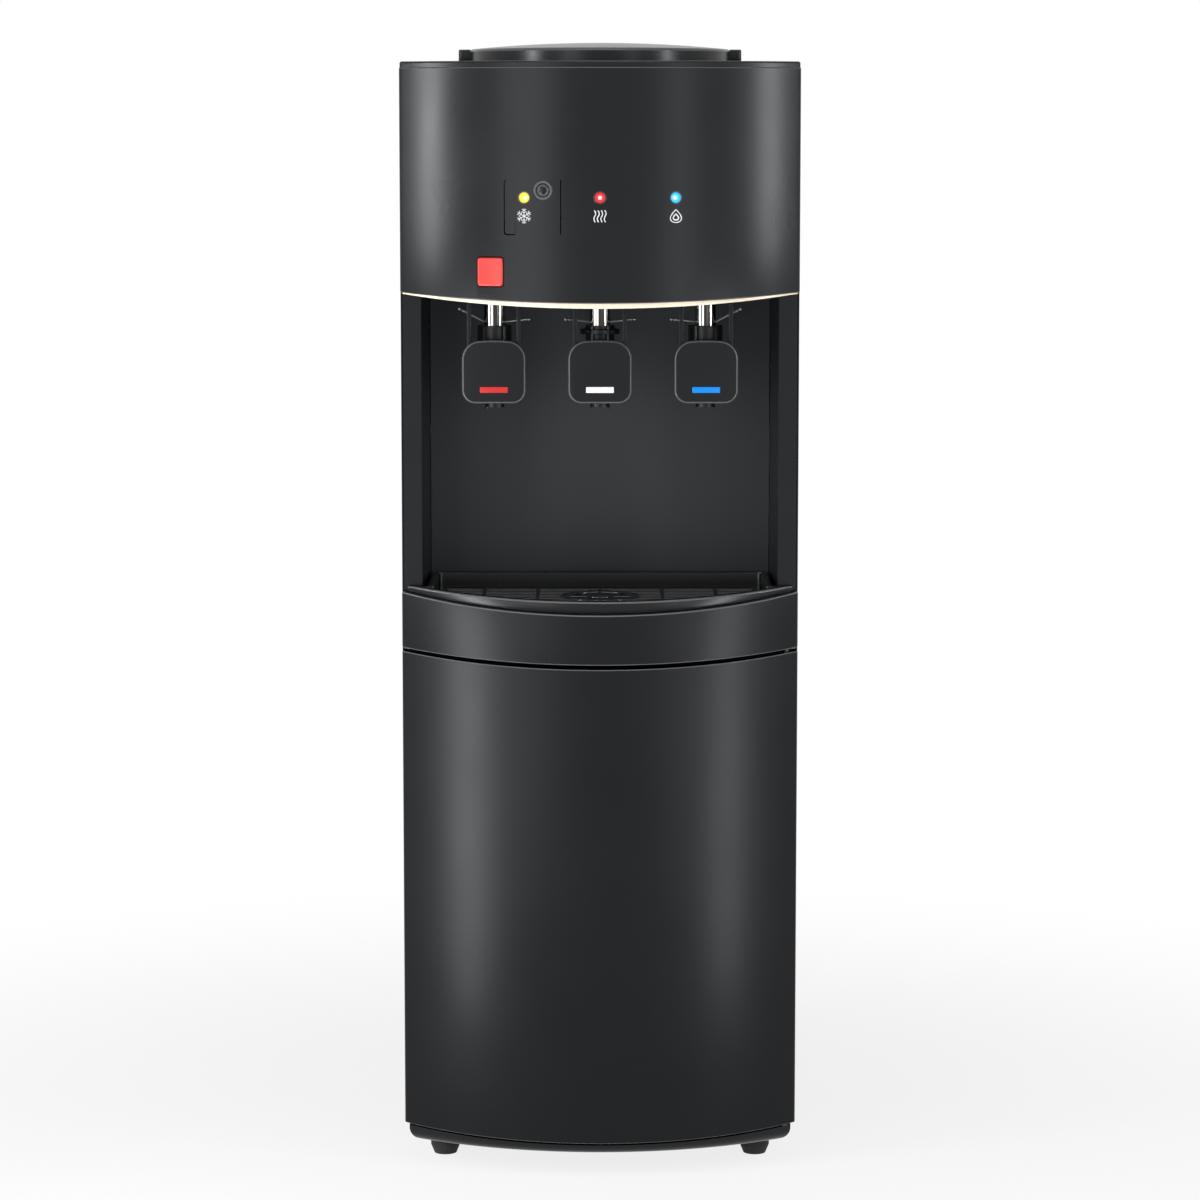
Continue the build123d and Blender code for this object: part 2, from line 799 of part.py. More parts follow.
def make_indicator_board():
    """Circuit board behind the lamps, on two posts of the head deck."""
    z0 = lamp_z - board_drop
    back = board_y + board_thickness
    chip = board_chip
    board = block(-board_half, board_half, board_y, back, z0, lamp_z + board_rise)
    for x in board_chip_places:
        board += block(x - chip, x + chip, back, back + chip, lamp_z - 2 * chip, lamp_z - 4)
    for x in (-60.0, 60.0 - board_post):
        board += block(x, x + board_post, board_y, board_y + 5, deck_z + wall, z0 + 1)
    return one(board)


def make_round_button():
    button = rod_y(round_button_radius, 0, -round_button_proud, round_button_depth, 0)
    edge = button.edges().sort_by(Axis.Y)[0]
    button = fillet(edge, round_button_round)
    flange_y = wall + round_button_travel
    button += rod_y(round_button_radius + 1.6, 0, flange_y, round_button_depth, 0)
    return one(on_front(round_button_x, round_button_z) * button)


def make_lock_button():
    """Red safety-lock key: rounded square cap with a dished face, hollow behind."""
    key = lock_prism(0, -lock_proud, lock_depth - 3)
    rim = key.faces().sort_by(Axis.Y)[0].edges()
    key = fillet(rim, lock_edge)
    half_x = lock_width / 2 - lock_wall
    half_z = lock_height / 2 - lock_wall
    hollow = block(-half_x, half_x, lock_wall, lock_depth, -half_z, half_z)
    return one(on_front(lock_x, lock_z) * (key - hollow))


def make_light_strip():
    """Thin trim line that follows the lower edge of the head."""
    z0, z1 = strip_bottom[1] - seam_cut, head_bottom[0] + seam_cut
    strip = front_shell(2.0, 3.0, panel_front_y - 1.0, z0, z1)
    strip &= seam_band(strip_bottom, lowered(head_bottom, touch_gap))
    return one(strip)


def make_bay_jamb(side):
    """Side of the bay: front lip, splayed side wall and a rear lip, folded in plan."""
    z0 = shelf_z + sheet + hinge_plate + touch_gap
    outer = half_width - sheet - panel_lap
    tail_x = bay_half + 0.4
    points = [
        (outer, panel_front_y),
        (jamb_inner, panel_front_y),
        (tail_x, bay_back_y + wall),
        (tail_x, bay_back_y + jamb_tail),
        (tail_x + wall, bay_back_y + jamb_tail),
        (tail_x + wall + 0.2, bay_back_y + wall),
        (jamb_inner + wall, panel_front_y + wall),
        (outer, panel_front_y + wall),
    ]
    face = make_face(Polyline(points, close=True))
    jamb = extrude(Pos(0, 0, z0) * face, deck_z - z0)
    notch_y = panel_front_y + 2 * wall
    jamb -= block(jamb_inner + wall, half_width, panel_front_y - 1, notch_y, z0 - 1, band_top[0] + 0.5)
    return one(jamb if side > 0 else jamb.mirror(Plane.YZ))


def make_bay_back():
    """Back of the bay, dished backwards in plan so that it is deepest in the middle."""
    z0 = shelf_z + sheet
    half = bay_half
    y = bay_back_y
    front_face = ThreePointArc((-half, y), (0, y + bay_back_bow), (half, y))
    rear_face = ThreePointArc((half, y + wall), (0, y + bay_back_bow + wall), (-half, y + wall))
    ends = [Line((half, y), (half, y + wall)), Line((-half, y + wall), (-half, y))]
    face = make_face(Curve() + [front_face, rear_face] + ends)
    return one(extrude(Pos(0, 0, z0) * face, deck_z - z0))


def make_head_deck():
    """Deck of the head: roof of the bay with holes for the stems and the paddle arms."""
    inset = wall + 4.8
    back = panel_rear_y - side_fit
    deck = plan_solid(inset, back, deck_z, deck_z + wall)
    z0, z1 = deck_z - cut_over, deck_z + wall + cut_over
    half = arm_width / 2 + arm_side_gap
    y0 = pivot_y - arm_depth / 2 - 0.8
    y1 = pivot_y + arm_depth / 2 + 0.8 + arm_swing
    lug_reach = arm_spread + arm_width / 2 + 0.4 + pivot_lug / 2
    for x in tap_places:
        deck -= post(stem_radius + seat_gap, x, tap_y, z0, z1)
        for side in (-1, 1):
            arm_x = x + side * arm_spread
            deck -= block(arm_x - half, arm_x + half, y0, y1, z0, z1)
            deck += pivot_lug_at(x + side * lug_reach)
    return one(deck)


def pivot_lug_at(x):
    """Lug on the head deck with the hole that a paddle's trunnion turns in."""
    half = pivot_lug / 2
    radius = pivot_lug_radius
    lug = block(x - half, x + half, pivot_y - radius, pivot_y + radius, deck_z + wall, pivot_z)
    lug += rod_x(radius, x - half, x + half, pivot_y, pivot_z)
    return lug - rod_x(pivot_radius + fit_gap, x - pivot_lug, x + pivot_lug, pivot_y, pivot_z)


def make_top_cover():
    """Top moulding with a rolled edge and the round mouth of the reservoir."""
    top = top_plate_z + wall
    back = panel_rear_y + sheet
    outer = plan_solid(cover_inset, back, head_top[0], top)
    outer = fillet(outer.edges().group_by(Axis.Z)[-1], cover_edge_round)
    inner = plan_solid(cover_inset + wall, back - wall, head_top[0] - cut_over, top_plate_z)
    cover = outer - inner
    return one(cover - post(well_hole_radius, 0, lid_centre_y, top_plate_z - 2, top + 2))


# ---- Door -----------------------------------------------------------------------------------
def door_plan(inset):
    """Plan of the door with its rear corners rounded so that they clear the cabinet."""
    face = front_outline(inset, door_back_y - inset)
    rear = [v for v in face.vertices() if abs(v.Y - (door_back_y - inset)) < 0.01]
    return fillet(rear, max(door_rear_round - inset, 0.8))


def make_door_outer():
    """Folded steel door skin with side returns, end flanges and hinge holes."""
    z0, z1 = door_bottom[1] - seam_cut, door_top[0] + seam_cut
    skin = extrude(Pos(0, 0, z0) * door_plan(0), z1 - z0)
    core = extrude(Pos(0, 0, z0 - 1) * door_plan(door_sheet), z1 - z0 + 2)
    skin -= core
    opening = half_width - door_return
    low, high = door_flange_bottom + door_rim_margin, door_flange_top - door_rim_margin
    skin -= block(-opening, opening, door_back_y - 5, door_back_y + 2, low, high)
    skin &= seam_band(door_bottom, door_top)
    keep = block(-half_width, half_width, front_y - 1, door_back_y - door_sheet, 0, z1)
    back_strip = block(-half_width, half_width, door_back_y - door_sheet - 3, door_back_y + 1, 0, z1)
    flange_low = (door_flange_bottom, door_flange_bottom)
    flange_high = (door_flange_top, door_flange_top)
    trimmed = seam_band(flange_low, flange_high)
    skin = (skin & keep) + (skin & back_strip & trimmed)
    for z in (door_flange_bottom, door_flange_top - door_flange):
        skin += extrude(Pos(0, 0, z) * door_plan(door_sheet - 0.2), door_flange)
    skin -= post(hinge_pin_radius + fit_gap, hinge_x, hinge_y, z0, z1)
    return one(skin)


def make_door_inner():
    """Moulded door liner: flat rim screwed to the returns, dished middle, cross ribs."""
    z0 = door_flange_bottom + 3
    z1 = door_flange_top - 3
    back = frame_front_y - 0.9
    rim = block(-liner_half, liner_half, door_back_y + 0.05, back, z0, z1)
    rim = fillet(rim.edges().filter_by(Axis.Y), liner_round)
    dish_low, dish_high = z0 + liner_margin, z1 - liner_margin
    mouth = block(-liner_dish_half, liner_dish_half, front_y, back + 1, dish_low, dish_high)
    shell_outer = plan_solid(liner_dish_inset, back, dish_low - liner_wall, dish_high + liner_wall)
    wide = liner_dish_half + liner_wall
    shell_outer &= block(-wide, wide, front_y, back, 0, door_top[0])
    shell_inner = plan_solid(liner_dish_inset + liner_wall, back + 1, dish_low, dish_high) & mouth
    liner = (rim - mouth) + (shell_outer - shell_inner)
    rib_pitch = (dish_high - dish_low) / (liner_rib_count + 1)
    rib_inset = liner_dish_inset + liner_wall
    for row in range(1, liner_rib_count + 1):
        z = dish_low + row * rib_pitch
        rib = plan_solid(rib_inset - 0.3, back, z, z + liner_rib)
        rib -= plan_solid(rib_inset + liner_rib_reach, back + 1, z - 1, z + liner_rib + 1)
        liner += rib & mouth
    return one(liner)


# ---- Taps -----------------------------------------------------------------------------------
def make_tap_stems():
    """Chrome tubes from the head deck down to the valves, with a seam groove in front."""
    stems = []
    for x in tap_places:
        stem = post(stem_radius, x, tap_y, stem_bottom, stem_top)
        groove_x = x + stem_radius * 0.2
        y = tap_y - stem_radius
        stem -= block(groove_x, groove_x + stem_groove, y - 1, y + 1.2, stem_bottom - 1, deck_z - 1)
        stem -= post(stem_radius - stem_wall, x, tap_y, stem_bottom - 1, stem_top + 1)
        stems.append(one(stem))
    return Compound(stems)


def make_tap_valve(x, middle):
    """Valve body: collar under the stem, drum behind the paddle, bored spout with two lips."""
    valve = post(valve_radius, x, tap_y, valve_bottom, collar_bottom + 1)
    if middle:
        valve += post(valve_radius, x, tap_y, collar_bottom, stem_bottom - 0.05)
        collar = post(mid_collar_radius, x, tap_y, mid_collar_bottom, mid_collar_top)
        valve += fillet(collar.edges().filter_by(GeomType.CIRCLE), collar_round)
    else:
        collar = post(collar_radius, x, tap_y, collar_bottom, stem_bottom - 0.05)
        valve += fillet(collar.edges().filter_by(GeomType.CIRCLE), collar_round)
    taper = (valve_radius + spout_radius) / 2
    valve += Pos(x, tap_y, valve_bottom - valve_taper / 2) * Cone(taper - 1, valve_radius, valve_taper)
    valve += post(spout_radius, x, tap_y, spout_bottom + 1.5, valve_bottom)
    for side in (-1, 1):
        lip_x = x + side * (spout_radius - spout_lip - 0.2)
        valve += post(spout_lip, lip_x, tap_y, spout_bottom, spout_bottom + 4)
    valve -= post(spout_bore, x, tap_y, spout_bottom - 1, valve_bottom + bore_depth)
    return one(valve)


def spring_leg(length):
    """Straight wire with a bead and a ball end, standing on its inner end."""
    wire, bead, ball = spring_wire_radius, spring_bead_radius, spring_ball_radius
    bead_rise = math.sqrt(bead**2 - wire**2)
    bead_middle = length * 0.8
    bead_low, bead_high = bead_middle - bead_rise, bead_middle + bead_rise
    ball_middle = length - ball
    ball_low = ball_middle - math.sqrt(ball**2 - wire**2)
    outline = [
        Polyline((0, length), (0, 0), (wire, 0), (wire, bead_low)),
        ThreePointArc((wire, bead_low), (bead, bead_middle), (wire, bead_high)),
        Line((wire, bead_high), (wire, ball_low)),
        ThreePointArc((wire, ball_low), (ball, ball_middle), (0, length)),
    ]
    return revolve(make_face(Plane.XZ * (Curve() + outline)), Axis.Z)


def make_return_springs():
    """Spring legs with ball ends that stand out beside the arms of each paddle."""
    low, high = spring_rise_low, spring_rise_high
    z = stem_bottom + spring_drop
    legs = []
    for x, rises in zip(tap_places, ((high, low), (low, low), (low, high))):
        for side, rise in zip((-1, 1), rises):
            direction = Vector(side * 1.0, -0.35, 0).normalized()
            start = Vector(x, tap_y, z) + direction * (stem_radius + 0.6)
            end = Vector(x + side * spring_reach, tap_y - spring_forward, z + rise)
            run = Plane(origin=start, z_dir=(end - start).normalized())
            legs.append(one(run.location * spring_leg((end - start).length)))
    return Compound(legs)


def paddle_face(width, height, shrink):
    """Front outline of a paddle: crowned top, large top rounds, smaller bottom rounds."""
    half = width / 2 - shrink
    low = shrink
    high = height - shrink
    shoulder = high - paddle_crown
    top = ThreePointArc((-half, shoulder), (0, high), (half, shoulder))
    rest = Polyline((half, shoulder), (half, low), (-half, low), (-half, shoulder))
    face = make_face(Curve() + [top, rest])
    upper = [v for v in face.vertices() if v.Y > height / 2]
    face = fillet(upper, paddle_top_round - shrink)
    lower = [v for v in face.vertices() if v.Y < low + 0.01]
    return fillet(lower, paddle_bottom_round - shrink)


def paddle_prism(shrink, y0, y1):
    """Paddle outline pushed along Y between two depths."""
    face = Plane.XZ * paddle_face(paddle_width, paddle_height, shrink)
    return Pos(0, y1, paddle_bottom) * extrude(face, y1 - y0)


def make_paddle(x):
    """Hollow push paddle with a bevelled face, two arms and the trunnions they turn on."""
    back = paddle_front_y + paddle_depth
    body = paddle_prism(0, paddle_front_y, back)
    front_rim = body.faces().sort_by(Axis.Y)[0].edges()
    body = chamfer(front_rim, paddle_bevel)
    body -= paddle_prism(paddle_wall, paddle_front_y + paddle_wall, back + 1)
    top = paddle_bottom + paddle_height
    y0 = pivot_y - arm_depth / 2
    for side in (-1, 1):
        x0 = side * arm_spread - arm_width / 2
        x1 = x0 + arm_width
        arm = block(x0, x1, y0, y0 + arm_depth, top - arm_root, pivot_z)
        arm += block(x0, x1, paddle_front_y + 1, back, paddle_bottom + arm_rib_low, top - arm_rib_high)
        arm += rod_x(arm_depth / 2, x0, x1, pivot_y, pivot_z)
        root = side * (arm_spread + arm_width / 2 - 1)
        tip = side * (arm_spread + arm_width / 2 + trunnion_reach)
        arm += rod_x(pivot_radius, min(root, tip), max(root, tip), pivot_y, pivot_z)
        body += arm
    recess = bar_prism(bar_gap, paddle_front_y - 1, paddle_front_y + bar_seat)
    return one(Pos(x, 0, 0) * (body - recess))


def bar_prism(grow, y0, y1):
    """Colour bar of a paddle between two depths."""
    half = bar_width / 2 + grow
    return block(-half, half, y0, y1, bar_bottom - grow, bar_bottom + bar_height + grow)


def make_paddle_bar(x):
    bar = bar_prism(0, paddle_front_y - bar_proud, paddle_front_y + bar_seat)
    bar = fillet(bar.edges().filter_by(Axis.Z).sort_by(Axis.Y)[:2], 0.4)
    return one(Pos(x, 0, 0) * bar)


# ---- Drip tray ------------------------------------------------------------------------------
def tray_plan(inset):
    """Plan of the tray: bowed front part ahead of the jambs, narrower part between them."""
    gap = tray_inset + inset
    disc = Pos(0, arc_centre_y) * Circle(front_radius - gap)
    wide = half_width - gap
    ahead_back = panel_front_y - 1.5 - inset
    reach = ahead_back - front_y
    ahead = disc & (Pos(0, front_y + reach / 2) * Rectangle(2 * wide, reach))
    half = bay_half - tray_side_gap - inset
    start = panel_front_y - 20
    length = tray_back_y - inset - start
    between = Pos(0, start + length / 2) * Rectangle(2 * half, length)
    return ahead + (between & disc)


def make_drip_tray():
    """Lift-out basin with a rim that runs down towards the front and a ledge for the grille."""
    z0, z1 = tray_floor_z, tray_top[0] + seam_cut
    rim_low = lowered(band_top, -seat_gap)
    rim = extrude(Pos(0, 0, z0) * tray_plan(0), z1 - z0) & seam_band(rim_low, tray_top)
    body = extrude(Pos(0, 0, z0) * tray_plan(tray_rim), z1 - z0) & seam_band((z0, z0), tray_top)
    well = tray_rim + wall
    basin = extrude(Pos(0, 0, z0 + wall) * tray_plan(well + grille_ledge), z1 - z0)
    mouth = extrude(Pos(0, 0, grille_z - grille_plate - touch_gap) * tray_plan(well), z1 - z0)
    return one(rim + body - basin - mouth)


def ring_band(outer, inner):
    """Flat ring round the hub of the grille."""
    return Pos(0, ring_centre_y) * (Circle(outer) - Circle(inner))


def make_tray_grille():
    """Flat grille: rows of long slots, broken by bridges, round a spoked ring and its hub."""
    z0 = grille_z - grille_plate
    plate = extrude(Pos(0, 0, z0) * tray_plan(tray_rim + wall + grille_gap), grille_plate)
    openings = Sketch()
    rows = int((tray_back_y - front_y) / slot_pitch)
    for row in range(1, rows):
        y = front_y + slot_pitch * (row + 0.5)
        openings += Pos(0, y) * Rectangle(overall_width, slot_width)
    openings &= tray_plan(tray_rim + wall + slot_margin)
    openings -= Pos(0, ring_centre_y) * Circle(ring_outer)
    for place in bridge_places:
        for side in (-1, 1):
            openings -= Pos(side * place, 0) * Rectangle(bridge_width, overall_depth)
    openings -= Rectangle(bridge_width, overall_depth)
    ring = ring_band(ring_hole_outer, ring_hole_inner)
    for spoke in range(ring_spokes):
        turn = Pos(0, ring_centre_y) * Rot(0, 0, spoke * 360 / ring_spokes)
        ring -= turn * Pos(ring_hole_outer / 2, 0) * Rectangle(ring_hole_outer + 6, ring_spoke_width)
    for holes in (openings, ring):
        plate -= extrude(Pos(0, 0, z0 - cut_over) * holes, grille_plate + 2 * cut_over)
    return one(plate)


# ---- Lid and water works ----------------------------------------------------------------------
def dome_arc(radius, edge, crown):
    """Arc of the lid's low dome from its crown to its edge."""
    rise = crown - edge
    dome_radius = (radius**2 + rise**2) / (2 * rise)
    middle = radius / 2
    z = crown - dome_radius + math.sqrt(dome_radius**2 - middle**2)
    return ThreePointArc((0, crown), (middle, z), (radius, edge))


def make_lid():
    """Domed round cap with two side lugs and a plug ring below."""
    z0 = top_plate_z + wall
    edge = z0 + lid_skirt
    crown = overall_height
    inner = lid_radius - wall
    outline = [
        dome_arc(lid_radius, edge, crown),
        Polyline((lid_radius, edge), (lid_radius, z0), (inner, z0), (inner, edge - wall)),
        dome_arc(inner, edge - wall, crown - wall),
        Line((0, crown - wall), (0, crown)),
    ]
    cap = revolve(make_face(Plane.XZ * (Curve() + outline)), Axis.Z)
    for side in (-1, 1):
        reach = side * (lid_radius + lid_lug_reach)
        start = side * (lid_radius - wall / 2)
        half = lid_lug_width / 2
        lug = block(min(start, reach), max(start, reach), -half, half, z0, edge)
        tips = lug.edges().filter_by(Axis.Z).group_by(Axis.X)[0 if side < 0 else -1]
        cap += fillet(tips, lid_edge_round)
    outer = well_hole_radius - lid_plug_gap
    low = z0 - lid_plug
    plug_top = edge - wall / 2
    plug = post(outer, 0, 0, low, plug_top) - post(outer - wall, 0, 0, low - cut_over, plug_top + cut_over)
    return one(Pos(0, lid_centre_y, 0) * (cap + plug))


def make_reservoir_bowl():
    """Funnel under the lid that feeds the cold tank through its neck."""
    rim = top_plate_z
    low = rim - bowl_depth
    neck_low = tank_top + touch_gap / 2
    funnel = bowl_radius - bowl_funnel_inset
    outer = Polyline(
        [
            (0, neck_low),
            (neck_radius, neck_low),
            (neck_radius, low - bowl_funnel),
            (funnel, low),
            (bowl_radius, low + bowl_slope),
            (bowl_radius, rim - bowl_flange),
            (bowl_flange_radius, rim - bowl_flange),
            (bowl_flange_radius, rim),
            (0, rim),
        ],
        close=True,
    )
    inner = Polyline(
        [
            (0, neck_low - 1),
            (neck_bore, neck_low - 1),
            (neck_bore, low - bowl_funnel + 3),
            (funnel - 1, low + 3),
            (bowl_radius - wall, low + bowl_slope + 2),
            (bowl_radius - wall, rim + 1),
            (0, rim + 1),
        ],
        close=True,
    )
    bowl = revolve(make_face(Plane.XZ * outer), Axis.Z) - revolve(make_face(Plane.XZ * inner), Axis.Z)
    return one(Pos(0, lid_centre_y, 0) * bowl)


def make_cold_tank():
    """Hollow sheet-steel cold tank with rounded ends and a pressed bead round its middle."""
    tank = rounded_can(tank_radius, tank_height, tank_end_round)
    tank -= Pos(0, 0, tank_height / 2) * Torus(tank_radius, tank_bead)
    inner = rounded_can(tank_radius - tank_wall, tank_height - 2 * tank_wall, tank_end_round - tank_wall)
    inner -= Pos(0, 0, tank_height / 2 - tank_wall) * Torus(tank_radius, tank_bead + tank_wall)
    return one(Pos(0, tank_y, tank_bottom) * (tank - Pos(0, 0, tank_wall) * inner))


def rounded_can(radius, height, end_round):
    """Upright drum with rounded ends, standing on the origin."""
    can = post(radius, 0, 0, 0, height)
    return fillet(can.edges().filter_by(GeomType.CIRCLE), end_round)


def make_tank_foam():
    """Foam cup round the cold tank, standing on the head deck."""
    z0 = deck_z + wall
    foam = post(tank_radius + foam_wall, 0, tank_y, z0, tank_top - foam_step)
    foam -= post(tank_radius + 0.2, 0, tank_y, tank_bottom, tank_top)
    return one(foam)


def make_hot_tank():
    """Hollow hot tank with domed ends, a girth seam, outlet pipe and three legs on the shelf."""
    body = rounded_can(hot_radius, hot_height, hot_end_round)
    body += post(hot_radius + hot_seam, 0, 0, hot_seam_rise, hot_seam_rise + hot_seam_width)
    inner_height = hot_height - 2 * tank_wall
    inner = rounded_can(hot_radius - tank_wall, inner_height, hot_end_round - tank_wall)
    body -= Pos(0, 0, tank_wall) * inner
    leg_reach = hot_radius - hot_leg_inset
    for turn in (30, 150, 270):
        a = math.radians(turn)
        x, y = leg_reach * math.cos(a), leg_reach * math.sin(a)
        body += post(hot_leg_radius, x, y, -leg_height, tank_wall / 2)
    z0 = shelf_z + sheet + leg_height
    body += post(hot_pipe_radius, 0, -hot_pipe_offset, hot_height - tank_wall / 2, deck_z - touch_gap - z0)
    return one(Pos(hot_x, hot_y, z0) * body)


def make_compressor():
    """Welded compressor can with a foot plate, a girth weld and a terminal box."""
    z0 = shelf_z + sheet + mount_height
    foot_x, foot_y = compressor_foot_x, compressor_foot_y
    plate = block(-foot_x, foot_x, -foot_y, foot_y, z0, z0 + compressor_foot)
    plate = fillet(plate.edges().filter_by(Axis.Z), 12)
    low, high = z0 + 6, z0 + compressor_height
    can = post(compressor_radius, 0, 0, low, high)
    edges = can.edges().filter_by(GeomType.CIRCLE).sort_by(Axis.Z)
    can = fillet(edges[-1], 30)
    can = fillet(can.edges().filter_by(GeomType.CIRCLE).sort_by(Axis.Z)[0], 12)
    weld = post(compressor_radius + 2, 0, 0, z0 + 70, z0 + 75)
    neck = post(20, 0, 0, z0 + 1, z0 + 12)
    box_y = -compressor_radius
    box = block(-18, 18, box_y - 12, box_y + 20, z0 + 25, z0 + 62)
    box = fillet(box.edges().filter_by(Axis.Y), 3)
    core = compressor_core_wall
    hollow = post(compressor_radius - core, 0, 0, low + core, high - core)
    hollow = fillet(hollow.edges().filter_by(GeomType.CIRCLE).sort_by(Axis.Z)[-1], 30 - core)
    body = plate + can + weld + neck + box - hollow
    for sx in (-1, 1):
        for sy in (-1, 1):
            body -= post(2.6, sx * mount_spread, sy * mount_spread, z0 - 1, z0 + 5)
    return one(Pos(compressor_x, compressor_y, 0) * body)


def make_compressor_mounts():
    """Rubber grommets under the compressor's foot plate."""
    z0 = shelf_z + sheet
    grommet = post(mount_radius, 0, 0, z0, z0 + mount_height)
    grommet -= Pos(0, 0, z0 + mount_height / 2) * Torus(mount_radius, mount_waist)
    corners = [(sx * mount_spread, sy * mount_spread) for sx in (-1, 1) for sy in (-1, 1)]
    places = [Pos(compressor_x + x, compressor_y + y, 0) for x, y in corners]
    return Compound([one(place * grommet) for place in places])


def make_pump():
    """Small diaphragm pump on the shelf: motor, head with bolts and inlet spigot."""
    z0 = shelf_z + sheet
    z = z0 + pump_radius + 4
    y1 = pump_y + 28
    body = rod_y(pump_radius, pump_x, y1 - 12 - pump_length, y1 - 12, z)
    half = pump_head_half
    head = block(pump_x - half, pump_x + half, y1 - 14, y1 + 10, z - half, z + half)
    head = fillet(head.edges().filter_by(Axis.Y), 6)
    body += head
    foot = pump_foot_half
    body += block(pump_x - foot, pump_x + foot, y1 - pump_length, y1 - 20, z0, z)
    body += rod_x(hose_radius + 1.5, pump_x + 20, pump_x + 30, y1 - 2, z)
    return one(body)


def hose_points():
    """Route of the suction hose from the probe's cap to the pump's spigot."""
    z_pump = shelf_z + sheet + pump_radius + 4
    y_pump = pump_y + 26
    return [
        (probe_x, probe_y, probe_cap_z + probe_cap_height + touch_gap),
        (probe_x, probe_y, shelf_z - 19.3),
        (probe_x - 1, probe_y + 6, shelf_z + 17.7),
        (probe_x - 20, probe_y + 22, shelf_z + 35.7),
        (probe_x - 68, probe_y + 24, shelf_z + 31.7),
        (pump_x + 68, y_pump, z_pump),
        (pump_x + 30.1, y_pump, z_pump),
    ]


def make_suction_hose():
    """Silicone hose held at both ends, as straight runs joined by the largest tangent arcs."""
    points = [Vector(*p) for p in hose_points()]
    radii = []
    for before, here, after in zip(points, points[1:], points[2:]):
        turn = (here - before).get_angle(after - here)
        shorter = min((here - before).length, (after - here).length)
        radii.append(0.45 * shorter / math.tan(math.radians(turn) / 2))
    print("suction hose radii", [round(r, 1) for r in radii])
    path = FilletPolyline(*points, radius=radii)
    start = Plane(origin=points[0], z_dir=(points[1] - points[0]).normalized())
    hose = sweep(start * Circle(hose_radius), path=path)
    expected = math.pi * hose_radius**2 * path.length
    print("suction hose length", round(path.length, 1), "volume ratio", round(hose.volume / expected, 4))
    return one(hose)


def make_dip_probe():
    """Dip tube with its bottle cap, standing in the holder when no bottle is in the bay."""
    tube = post(probe_radius, probe_x, probe_y, probe_bottom, probe_cap_z + 2)
    tube = fillet(tube.edges().filter_by(GeomType.CIRCLE).sort_by(Axis.Z)[0], 4)
    cap = post(probe_cap_radius, probe_x, probe_y, probe_cap_z, probe_cap_z + probe_cap_height)
    cap = fillet(cap.edges().filter_by(GeomType.CIRCLE).sort_by(Axis.Z)[-1], 4)
    for step in range(probe_cap_grips):
        a = 2 * math.pi * step / probe_cap_grips
        x = probe_x + (probe_cap_radius + 0.6) * math.cos(a)
        y = probe_y + (probe_cap_radius + 0.6) * math.sin(a)
        cap -= post(1.2, x, y, probe_cap_z - 1, probe_cap_z + probe_cap_height - 5)
    for step in range(1, probe_holes + 1):
        z = probe_bottom + step * probe_hole_pitch
        tube -= rod_y(probe_hole_radius, probe_x, probe_y - 20, probe_y + 20, z)
    return one(tube + cap)


def make_probe_holder():
    """Bracket on the right side panel with a U-shaped slot that the dip tube hangs in."""
    x1 = half_width - sheet - fit_gap
    z1 = probe_cap_z - touch_gap
    y0, y1 = probe_y - holder_half, probe_y + holder_half
    plate = block(probe_x - holder_half, x1, y0, y1, z1 - holder_thickness, z1)
    plate = fillet(plate.edges().filter_by(Axis.Z).sort_by(Axis.X)[:2], 6)
    plate += block(x1 - holder_thickness, x1, y0, y1, z1 - holder_drop, z1)
    slot_half = probe_radius + seat_gap
    plate -= post(slot_half, probe_x, probe_y, z1 - 10, z1 + 1)
    plate -= block(probe_x - slot_half, probe_x + slot_half, probe_y - 20, probe_y, z1 - 10, z1 + 1)
    return one(plate)


# ---- Rear -----------------------------------------------------------------------------------
def make_condenser_tube():
    """One serpentine tube of straight passes and half-round bends."""
    y = condenser_y
    radius = condenser_pitch / 2
    half = condenser_half
    curves = []
    for row in range(condenser_passes):
        z = condenser_bottom + row * condenser_pitch
        side = 1 if row % 2 == 0 else -1
        end = (side * half, y, z)
        curves.append(Line((-side * half, y, z), end))
        if row < condenser_passes - 1:
            bend = (side * (half + radius), y, z + radius)
            curves.append(ThreePointArc(end, bend, (side * half, y, z + condenser_pitch)))
    path = Curve() + curves
    section = Plane(origin=(-half, y, condenser_bottom), z_dir=(1, 0, 0)) * Circle(condenser_tube_radius)
    return one(sweep(section, path=path))


def make_condenser_wires():
    """Upright wires on both faces of the serpentine tube."""
    z0 = condenser_bottom - condenser_wire_overhang
    z1 = condenser_bottom + (condenser_passes - 1) * condenser_pitch + condenser_wire_overhang
    reach = condenser_tube_radius + condenser_wire_radius
    count = int(2 * (condenser_half - 8) / condenser_wire_pitch)
    wires = []
    for index in range(count + 1):
        x = (index - count / 2) * condenser_wire_pitch
        for side in (-1, 1):
            wires.append(one(post(condenser_wire_radius, x, condenser_y + side * reach, z0, z1)))
    return Compound(wires)


def condenser_stand_offs():
    """Welded stand-offs that hold the condenser clear of the rear panel."""
    y0 = panel_rear_y + sheet / 2
    y1 = condenser_y - condenser_tube_radius - fit_gap
    stand_offs = []
    for sx in (-1, 1):
        for row in (1, condenser_passes - 2):
            z = condenser_bottom + row * condenser_pitch
            x = sx * (condenser_half - 3)
            stand_offs.append(block(x - 6, x + 6, y0, y1, z - 9, z + 9))
    return stand_offs


